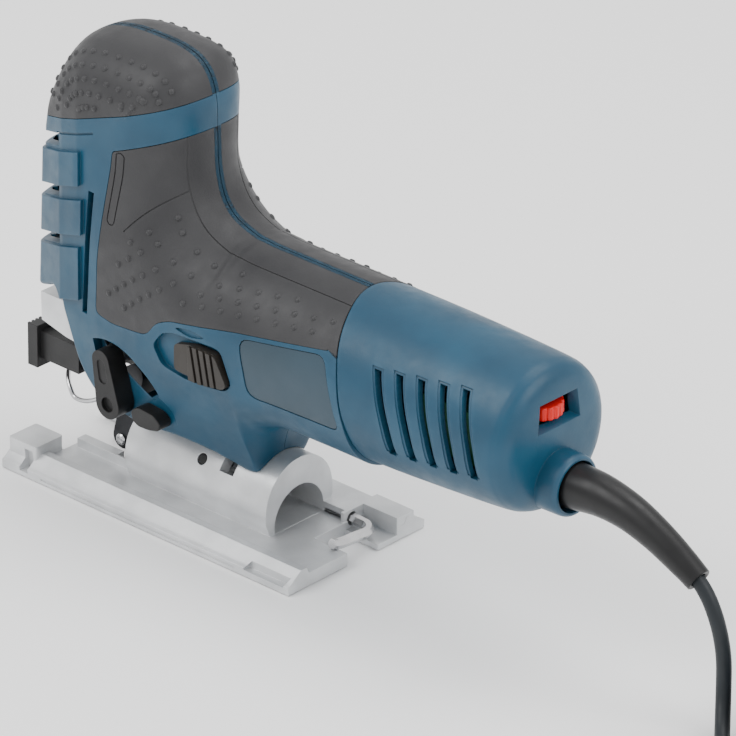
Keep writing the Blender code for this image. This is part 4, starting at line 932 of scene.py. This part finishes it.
def make_motor_cap():
    """Barrel and boss joined, hollowed and trimmed at the joint, then the slots, scoop and bores."""
    outer = (
        (80.0, 90.4, 34.9), (100.0, 90.7, 34.7), (120.0, 91.0, 34.4), (147.0, 91.5, 33.5),
        (172.0, 92.0, 32.3), (178.5, 92.2, 31.2), (182.0, 92.3, 28.9), (184.2, 92.3, 24.5),
        (185.1, 92.3, 16.0), (185.3, 92.3, 6.0),
    )
    inner = (
        (70.0, 90.4, 31.4), (120.0, 91.0, 31.0), (172.0, 92.0, 29.4), (179.0, 92.2, 25.5),
        (181.0, 92.3, 14.0),
    )
    boss = ((170.0, 13.4), (192.0, 12.9), (193.6, 12.7), (194.6, 12.2), (195.0, 11.6))
    cap = boolean(barrel(outer, 90), [turned(boss, "X", BOSS_AXIS, 96)], "UNION")
    cut(cap, barrel(inner, 24, 96))
    boolean(cap, [prism(cap_side(0.3, True), "Y", -60, 60)], "INTERSECT")
    for side in (-1, 1):
        slots = [slot_line(x, z, -0.9, 2.7) for x, z in SLOT_PLACES]
        cut(cap, together(*(prism(line, "Y", side * 20, side * 50) for line in slots)))
        hollows = [slot_line(x, z + 1.0, -2.1, 3.7) for x, z in SLOT_PLACES]
        band = together(*(prism(line, "Y", side * 18, side * 50) for line in hollows))
        cut(cap, cut(band, barrel([(x, z, r - 0.45) for x, z, r in outer], 90)))
    scoop = []
    facets = ((178.6, 9.8, 100.6, 108.2), (182.0, 10.6, 100.0, 109.4), (191.0, 15.5, 96.4, 114.5))
    for x, wide, low, high in facets:
        scoop.append([(x, -wide, low), (x, wide, low), (x, wide * 0.9, high), (x, -wide * 0.9, high)])
    window = ((-9.8, 100.6), (9.8, 100.6), (9.8, 108.2), (-9.8, 108.2))
    cut(cap, lofted("scoop", scoop), prism(window, "X", 165, 190))
    cut(cap, turned(((165, 10.4), (193.6, 10.4), (195.6, 11.0)), "X", BOSS_AXIS, 96))
    return cap


cap = make_motor_cap()
cap.name = "motor_cap_moulding"
piece(cap, "body", ["motor_cap"], shell_plastic, 30.0)


# ---------------------------------------------------------------------------------------------
# Speed dial. Red moulded wheel on an upright pin behind the cap's window. Its rim is ribbed for
# the thumb and its rear edge stands in the scoop.

def make_dial():
    """Rim radius follows a rounded wave, 18 ribs round. Levels draw in at both faces."""
    ribs = 18
    angle = np.linspace(0.0, 2 * math.pi, 12 * ribs, endpoint=False)
    wave = np.abs(np.cos(ribs / 2 * angle)) ** 0.6
    rings = []
    for z, inset in ((-2.9, 0.9), (-2.75, 0.35), (-2.3, 0.0), (2.3, 0.0), (2.75, 0.35), (2.9, 0.9)):
        radius = 8.65 + 0.75 * wave - inset
        height = np.full(12 * ribs, 104.4 + z)
        rings.append(np.column_stack((175.2 + radius * np.cos(angle), radius * np.sin(angle), height)))
    return lofted("speed_wheel", rings)


dial_plastic = moulded("dial_plastic", (0.58, 0.006, 0.003), (0.74, 0.011, 0.005), 0.36, 0.15)
piece(make_dial(), "dial", ["speed_dial"], dial_plastic)


# ---------------------------------------------------------------------------------------------
# Switch slider. Dark moulded thumb slide in a six-sided recess: a low flat front and a higher rear
# part with four slanting grip grooves. A tongue under it moves the switch.

def make_slider():
    """Rounded outline less the low front step and the grooves."""
    body = ((12, 75), (12, 86.5), (24, 89.6), (36, 89.6), (42.5, 78.6), (40.5, 76.4), (27, 74.2))
    slide = prism(fillet(body, 2.2), "Y", -36.6, -31.9)
    cut(slide, prism(((5, 70), (22.0, 70), (21.0, 95), (5, 95)), "Y", -34.4, -40))
    for k in range(4):
        x = 25.5 + 3.6 * k
        cut(slide, prism(((x + 0.9, 70), (x + 2.3, 70), (x - 2.7, 95), (x - 4.1, 95)), "Y", -35.5, -40))
    tongue = prism(((20, 77), (34, 77), (34, 83), (20, 83)), "Y", -32.5, -28.4)
    return boolean(slide, [tongue], "UNION")


slider_dark = (0.018, 0.015, 0.012)
slider_light = (0.028, 0.024, 0.020)
slider_plastic = moulded("slider_plastic", slider_dark, slider_light, 0.45, 0.45, 0.0003, 0.15)
slide = make_slider()
slide.name = "thumb_slide"
piece(slide, "switch", ["switch_slider"], slider_plastic, 30.0, 0.3)


# ---------------------------------------------------------------------------------------------
# Orbit and dust-blower levers. Small black paddles that swing in recesses at the left of the foot.
# They are moulded in matt glass-filled plastic, its corners rubbed slightly grey.

black_dark = (0.007, 0.007, 0.00735)
black_light = (0.0112, 0.0112, 0.01155)
black_plastic = moulded("black_plastic", black_dark, black_light, 0.42, 0.45, 0.0003, 0.12)


def paddle(pivot, tip, root, end):
    """Outline of two arcs, round the pivot and round the tip, joined by straight flanks."""
    heading = math.degrees(math.atan2(tip[1] - pivot[1], tip[0] - pivot[0]))
    near = arc(pivot, root, heading + 90, heading + 270, 28)
    return np.vstack((near, arc(tip, end, heading - 90, heading + 90, 22)))


def make_orbit_lever():
    """Paddle with a dished finger hole over its pivot, and the pin it turns on."""
    lever = prism(paddle(ORBIT_PIVOT, (-29.3, 64.0), 6.3, 4.6), "Y", -34.2, -25.0)
    boolean(lever, [turned(((-26, 2.0), (-18, 2.0)), "Y", ORBIT_PIVOT, 32)], "UNION")
    cut(lever, turned(((-40, 3.2), (-32.4, 3.2)), "Y", ORBIT_PIVOT, 40))
    return cut(lever, prism(paddle((-27.8, 56.5), (-29.0, 62.6), 2.3, 2.1), "Y", -33.7, -40))


def make_blower_lever():
    """Wedge with rounded corners and the pin it turns on."""
    line = ((-13, 43), (-13.6, 47), (-10, 49.4), (-1, 48.6), (2.6, 46), (2, 42.6), (-4, 41.2), (-10, 41))
    lever = prism(fillet(line, 1.6), "Y", -33.0, -26.0)
    return boolean(lever, [turned(((-27, 2.0), (-18, 2.0)), "Y", BLOWER_PIVOT, 32)], "UNION")


lever = make_orbit_lever()
lever.name = "orbit_paddle"
piece(lever, "orbit", ["orbit_lever"], black_plastic, 30.0, 0.7, 4)
lever = make_blower_lever()
lever.name = "blower_wedge"
piece(lever, "blower", ["blower_lever"], black_plastic, 30.0, 0.8, 4)


# ---------------------------------------------------------------------------------------------
# Blade release and clamp. A black lever with a ribbed thumb pad turns round the steel clamp that
# holds the blade at the plunger's foot. A bent wire keeps fingers off the blade in front.

CLAMP_AXIS = (-55.0, 0.0)      # x and y of the plunger's centre line


def box(x0, x1, y0, y1, z0, z1):
    """Block between two corners."""
    return prism(((x0, z0), (x1, z0), (x1, z1), (x0, z1)), "Y", y0, y1)


def make_release():
    """Ring, arm and pad joined, with the bore and seven thumb grooves cut."""
    lever = turned(((37.5, 11.0), (44.0, 11.0)), "Z", CLAMP_AXIS)
    arm = box(-86.5, -64.3, -11.0, -3.5, 37.0, 49.5)
    pad = box(-91.0, -85.5, -13.5, 2.5, 33.5, 52.5)
    boolean(lever, [arm, pad], "UNION")
    cut(lever, turned(((30, 9.2), (60, 9.2)), "Z", CLAMP_AXIS))
    edges = [-12.3 + 2.1 * k for k in range(7)]
    return cut(lever, together(*(box(-95.0, -90.2, y, y + 1.0, 30, 56) for y in edges)))


def make_clamp():
    """Turned sleeve with a rounded head, bored for the plunger and slotted for the blade's tang."""
    profile = ((48, 6.2), (48.3, 6.6), (49, 7.4), (54, 7.4), (54.4, 7.0), (55.4, 7.0), (55.8, 7.4))
    profile += ((61, 7.4), (62, 6.4))
    clamp = cut(turned(profile, "Z", CLAMP_AXIS), turned(((50.7, 4.3), (70, 4.3)), "Z", CLAMP_AXIS))
    return cut(clamp, box(-59.2, -50.8, -0.9, 0.9, 40, 55))


def make_guard():
    """Round wire along a smooth loop, flattened off against the case above."""
    left = [(-47, -11.8, 34.5), (-53, -12, 30), (-60, -12, 26.8), (-66, -11.8, 26.4), (-69.5, -11, 29.5)]
    left += [(-73, -8.5, 32), (-76, -4, 33.6)]
    line = smooth_line(left + [(x, -y, z) for x, y, z in left[::-1]], 90)
    line[:, 2] = np.minimum(line[:, 2], 34.5)
    return swept("blade_guard", line, 1.0, 16)


def metal(name, dark, light, roughness, brushed, stretch, metallic=1.0, rim=0.0002):
    """Bare metal: two tones, a brushed or cast grain along stretch, and patches of handling marks."""
    material, tree, surface = new_finish(name, light, roughness, metallic)
    tone = ramp(tree, noise(tree, 60.0, 5.0), ((0.35, dark), (0.65, light)))
    tree.links.new(tone, surface.inputs["Base Color"])
    marks = ramp(tree, noise(tree, 90.0, 6.0), ((0.30, roughness - 0.08), (0.72, roughness + 0.12)))
    tree.links.new(marks, surface.inputs["Roughness"])
    grain = (noise(tree, 1500.0, 3.0, stretch), brushed, 0.00005)
    waves = (noise(tree, 420.0, 4.0), brushed * 0.5, 0.00008)
    relief(tree, surface, (grain, waves), rim)
    return material


hard_steel = metal("hard_steel", (0.44, 0.44, 0.45), (0.60, 0.60, 0.61), 0.26, 0.35, (1.0, 1.0, 0.12))
release = make_release()
release.name = "release_thumb_lever"
piece(release, "release", ["release_lever"], black_plastic, 30.0, 0.45)
clamp = make_clamp()
clamp.name = "clamp_sleeve"
piece(clamp, "saw_rod", ["blade_clamp"], hard_steel)
guard_steel = metal("guard_steel", (0.50, 0.50, 0.51), (0.68, 0.68, 0.69), 0.20, 0.15, (1.0, 1.0, 1.0))
piece(make_guard(), "body", ["wire_guard"], guard_steel)


# ---------------------------------------------------------------------------------------------
# Gear case. Light die-cast metal whose bare nose shows in front, under the lowest louvre. It holds
# the plunger's bushes and the gear wheel's pin.

even = (1.0, 1.0, 1.0)      # a grain with no direction, as cast or polished metal has
nose_dark = (0.55, 0.56, 0.57)
nose_light = (0.70, 0.71, 0.72)
gear_case_casting = metal("gear_case_casting", nose_dark, nose_light, 0.42, 0.8, even, 0.6)


# ---------------------------------------------------------------------------------------------
# Pendulum. A blackened steel fork with a hardened grooved roller that presses on the blade's back.

ROLLER_AXIS = (-44.2, 13.0)      # x and z of the roller's pin


def make_fork():
    """Paddle outline less the roller's slot and the pin hole."""
    fork = prism(paddle((-36.5, 45.0), (-43.8, 14.0), 4.6, 5.0), "Y", -7.0, 7.0)
    cut(fork, box(-60, -30, -3.5, 3.5, 0, 21.5))
    return cut(fork, turned(((-10, 1.8), (10, 1.8)), "Y", ROLLER_AXIS, 32))


def make_roller():
    """Wheel with a rounded groove round its rim and a bore."""
    flank = ((0.9, 5.9), (1.1, 6.0), (2.8, 6.0), (3.1, 5.6))
    profile = tuple((-y, r) for y, r in flank[::-1]) + ((0.0, 5.0),) + flank
    return cut(turned(profile, "Y", ROLLER_AXIS), turned(((-10, 1.8), (10, 1.8)), "Y", ROLLER_AXIS, 40))


oxide_dark = (0.020, 0.021, 0.023)
oxide_light = (0.045, 0.046, 0.050)
black_steel = metal("black_steel", oxide_dark, oxide_light, 0.38, 0.6, (1.0, 1.0, 0.3), 0.7)
fork = make_fork()
fork.name = "roller_fork"
piece(fork, "pendulum", ["pendulum_fork"], black_steel, 30.0, 0.4)
roller = make_roller()
roller.name = "grooved_roller"
piece(roller, "roller", ["guide_roller"], hard_steel)
pin_profile = ((-8.3, 1.6), (-8.1, 2.0), (-7.4, 2.6), (-7.35, 1.5), (7.4, 1.5), (8.1, 1.5), (8.3, 1.2))
pin = turned(pin_profile, "Y", ROLLER_AXIS, 32)
pin.name = "roller_rivet"
piece(pin, "pendulum", ["roller_pin"], hard_steel)


# ---------------------------------------------------------------------------------------------
# Base plate. Pale die-cast aluminium: a floor between sloped rails, a half-round hub that the foot
# tilts on, corner blocks at the front and the key's stowage block at the far rear.

def cut_key_bed(base):
    """Cuts the key's rear notch, its cross groove and the bore that its long leg lies in."""
    cut(base, box(62, 90, -5.8, 12.5, -5, 20), box(62, 90, 12.0, 23.7, 2.6, 20))
    return cut(base, turned(((48.9, 2.9), (70.0, 2.9)), "X", (17.0, 6.2), 40))


def make_base():
    """Trough, hub and blocks joined, then the tunnel, openings, slot, access hole and side pockets."""
    half = [(40.0, 0.0), (40.0, 3.6), (38.4, 4.4), (32.6, 8.7), (29.3, 8.7), (28.0, 6.0)]
    base = prism([(-y, z) for y, z in half] + half[::-1], "X", -80.0, 80.0)
    feet = ((-HUB_OUTER, 12.0), (-16.6, 5.0), (16.6, 5.0), (HUB_OUTER, 12.0))
    hub = np.vstack((arc((0.0, HUB_Z), HUB_OUTER, 0.0, 180.0, 56), feet))
    boolean(base, [prism(hub, "X", -30.0, 48.4)], "UNION")
    front = fillet(((-80.2, 20.3), (-64.4, 20.3), (-64.4, 36.0), (-80.2, 36.0)), 1.4)
    for side in (-1, 1):
        corner = prism([(min(max(x, -80.0), -64.4), side * y) for x, y in front], "Z", 4.0, 12.5)
        ends = sorted((side * 9.8, side * 14.5))
        boolean(base, [corner, box(-62, -29, ends[0], ends[1], 4, 10)], "UNION")
    boolean(base, [box(30, 61.5, 12.0, 30.0, 4, 10.2), box(60, 79.9, 23.7, 33.6, 4, 10.2)], "UNION")
    tunnel = np.vstack((arc((0.0, HUB_Z), 13.5, 0.0, 180.0, 48), ((-13.5, 6.0), (13.5, 6.0))))
    cut(base, prism(tunnel, "X", -40.0, 39.0), prism(arc((0.0, 8.6), 14.4, -10, 190, 56), "X", 30.0, 60.0))
    sweep = np.vstack((arc((0.0, HUB_Z), 10.0, 150, 30, 24), arc((0.0, HUB_Z), 24.0, 30, 150, 24)))
    cut(base, prism(sweep, "X", 20.3, 27.7), turned(((-5, 7.5), (10, 7.5)), "Z", (24.0, 0.0)))
    cut(base, box(-66, -34, -9.5, 9.5, -5, 20), box(-90, -64.4, -20, 20, -5, 20))
    cut_key_bed(base)
    cut(base, swept("hole", ((10.0, -12.2, 24.4), (10.0, -14.5, 26.0), (10.0, -16.9, 27.6)), 2.5, 32))
    for side in (-1, 1):
        low, high = sorted((side * 36.4, side * 50.0))
        cut(base, prism(fillet(((55.0, 2.6), (59.0, 9.5), (79.0, 9.5), (77.0, 2.6)), 0.8), "Y", low, high))
        low, high = sorted((side * 34.0, side * 50.0))
        cut(base, prism(((-70.0, 1.9), (-71.0, 10.0), (-66.5, 10.0), (-65.5, 1.9)), "Y", low, high))
        low, high = sorted((side * 39.55, side * 50.0))
        cut(base, box(-58.0, 50.0, low, high, 1.4, 2.2))
    return base


sole_dark = (0.56, 0.57, 0.58)
sole_light = (0.68, 0.69, 0.70)
base_casting = metal("base_casting", sole_dark, sole_light, 0.38, 0.9, even, 0.5, 0.0005)
base = make_base()
base.name = "base_casting"
piece(base, "base", ["base_plate"], base_casting, 30.0)


# ---------------------------------------------------------------------------------------------
# Base fittings. A black peg marks the square position, a clamp bar and socket screw hold the hub
# from inside, and the bent hexagon key that turns the screw lies across the rear notch.

def bent_key():
    """Six-sided bar along a line with one rounded bend, its corners held at the same turn."""
    leg = [(49.5, 17, 6.2), (58, 17, 6.2), (67.5, 17, 6.2), (70.7, 16.4, 6.2), (73.0, 14.6, 6.2)]
    leg += [(74.2, 11.6, 6.2), (74.2, 5.0, 6.8), (74.0, -3.6, 7.4), (73.9, -8.0, 8.8)]
    return swept("bent_key", smooth_line(leg, 60), 2.3, 6)


foot = np.array((10.0, -12.2, 24.4))
reach = (np.array((10.0, -16.9, 27.6)) - foot) * 0.78
peg_line = [foot + reach * share for share in (0.0, 0.5, 0.94, 1.0)]
peg = swept("stop_peg", peg_line, (2.2, 2.2, 2.2, 1.9), 32)
piece(peg, "base", ["stop_pin"], black_plastic)
key_steel = metal("key_steel", (0.62, 0.62, 0.63), (0.78, 0.78, 0.79), 0.20, 0.25, (0.15, 1.0, 1.0))
piece(bent_key(), "key", ["hex_key"], key_steel, 25.0)


# ---------------------------------------------------------------------------------------------
# Inner works and fixings. Steel shafts, bronze bushes, the wound motor, its brushes and the board
# stay as the CAD has them and take their own metals and plastics.

stack_iron = metal("stack_iron", (0.20, 0.20, 0.21), (0.32, 0.32, 0.33), 0.45, 0.9, (6.0, 1.0, 1.0), 0.9)
wound_copper = metal("wound_copper", (0.55, 0.20, 0.08), (0.80, 0.34, 0.16), 0.32, 0.9, (0.2, 3.0, 3.0))
bush_bronze = metal("bush_bronze", (0.42, 0.26, 0.11), (0.56, 0.37, 0.17), 0.34, 0.4, (1.0, 1.0, 0.3))
screw_steel = metal("screw_steel", (0.30, 0.30, 0.31), (0.44, 0.44, 0.45), 0.32, 0.3, (1.0, 1.0, 1.0))
brush_carbon = moulded("brush_carbon", (0.012, 0.012, 0.013), (0.024, 0.024, 0.026), 0.6, 0.8, 0.0)
board_resin = moulded("board_resin", (0.012, 0.07, 0.03), (0.018, 0.10, 0.045), 0.35, 0.4, 0.0)
INNER = (
    (gear_case_casting, ("gear_case", "bearing_flange")),
    (hard_steel, ("plunger", "gear_wheel", "gear_pin", "armature_shaft", "clamp_bar")),
    (hard_steel, ("front_bearing", "rear_bearing", "plug_pin_left", "plug_pin_right")),
    (stack_iron, ("stator",)),
    (wound_copper, ("lamination_stack", "commutator")),
    (bush_bronze, ("lower_bush", "upper_bush", "left_brush_holder", "right_brush_holder")),
    (screw_steel, ("housing_screw_1", "housing_screw_2", "housing_screw_3", "housing_screw_4")),
    (screw_steel, ("clamp_screw",)),
    (brush_carbon, ("left_carbon_brush", "right_carbon_brush")),
    (board_resin, ("electronics_block",)),
    (black_plastic, ("switch_box", "brush_carrier", "cooling_fan")),
)
for finish, nodes in INNER:
    for node in nodes:
        obj = bpy.data.objects[node]
        obj.data.materials.clear()
        obj.data.materials.append(finish)
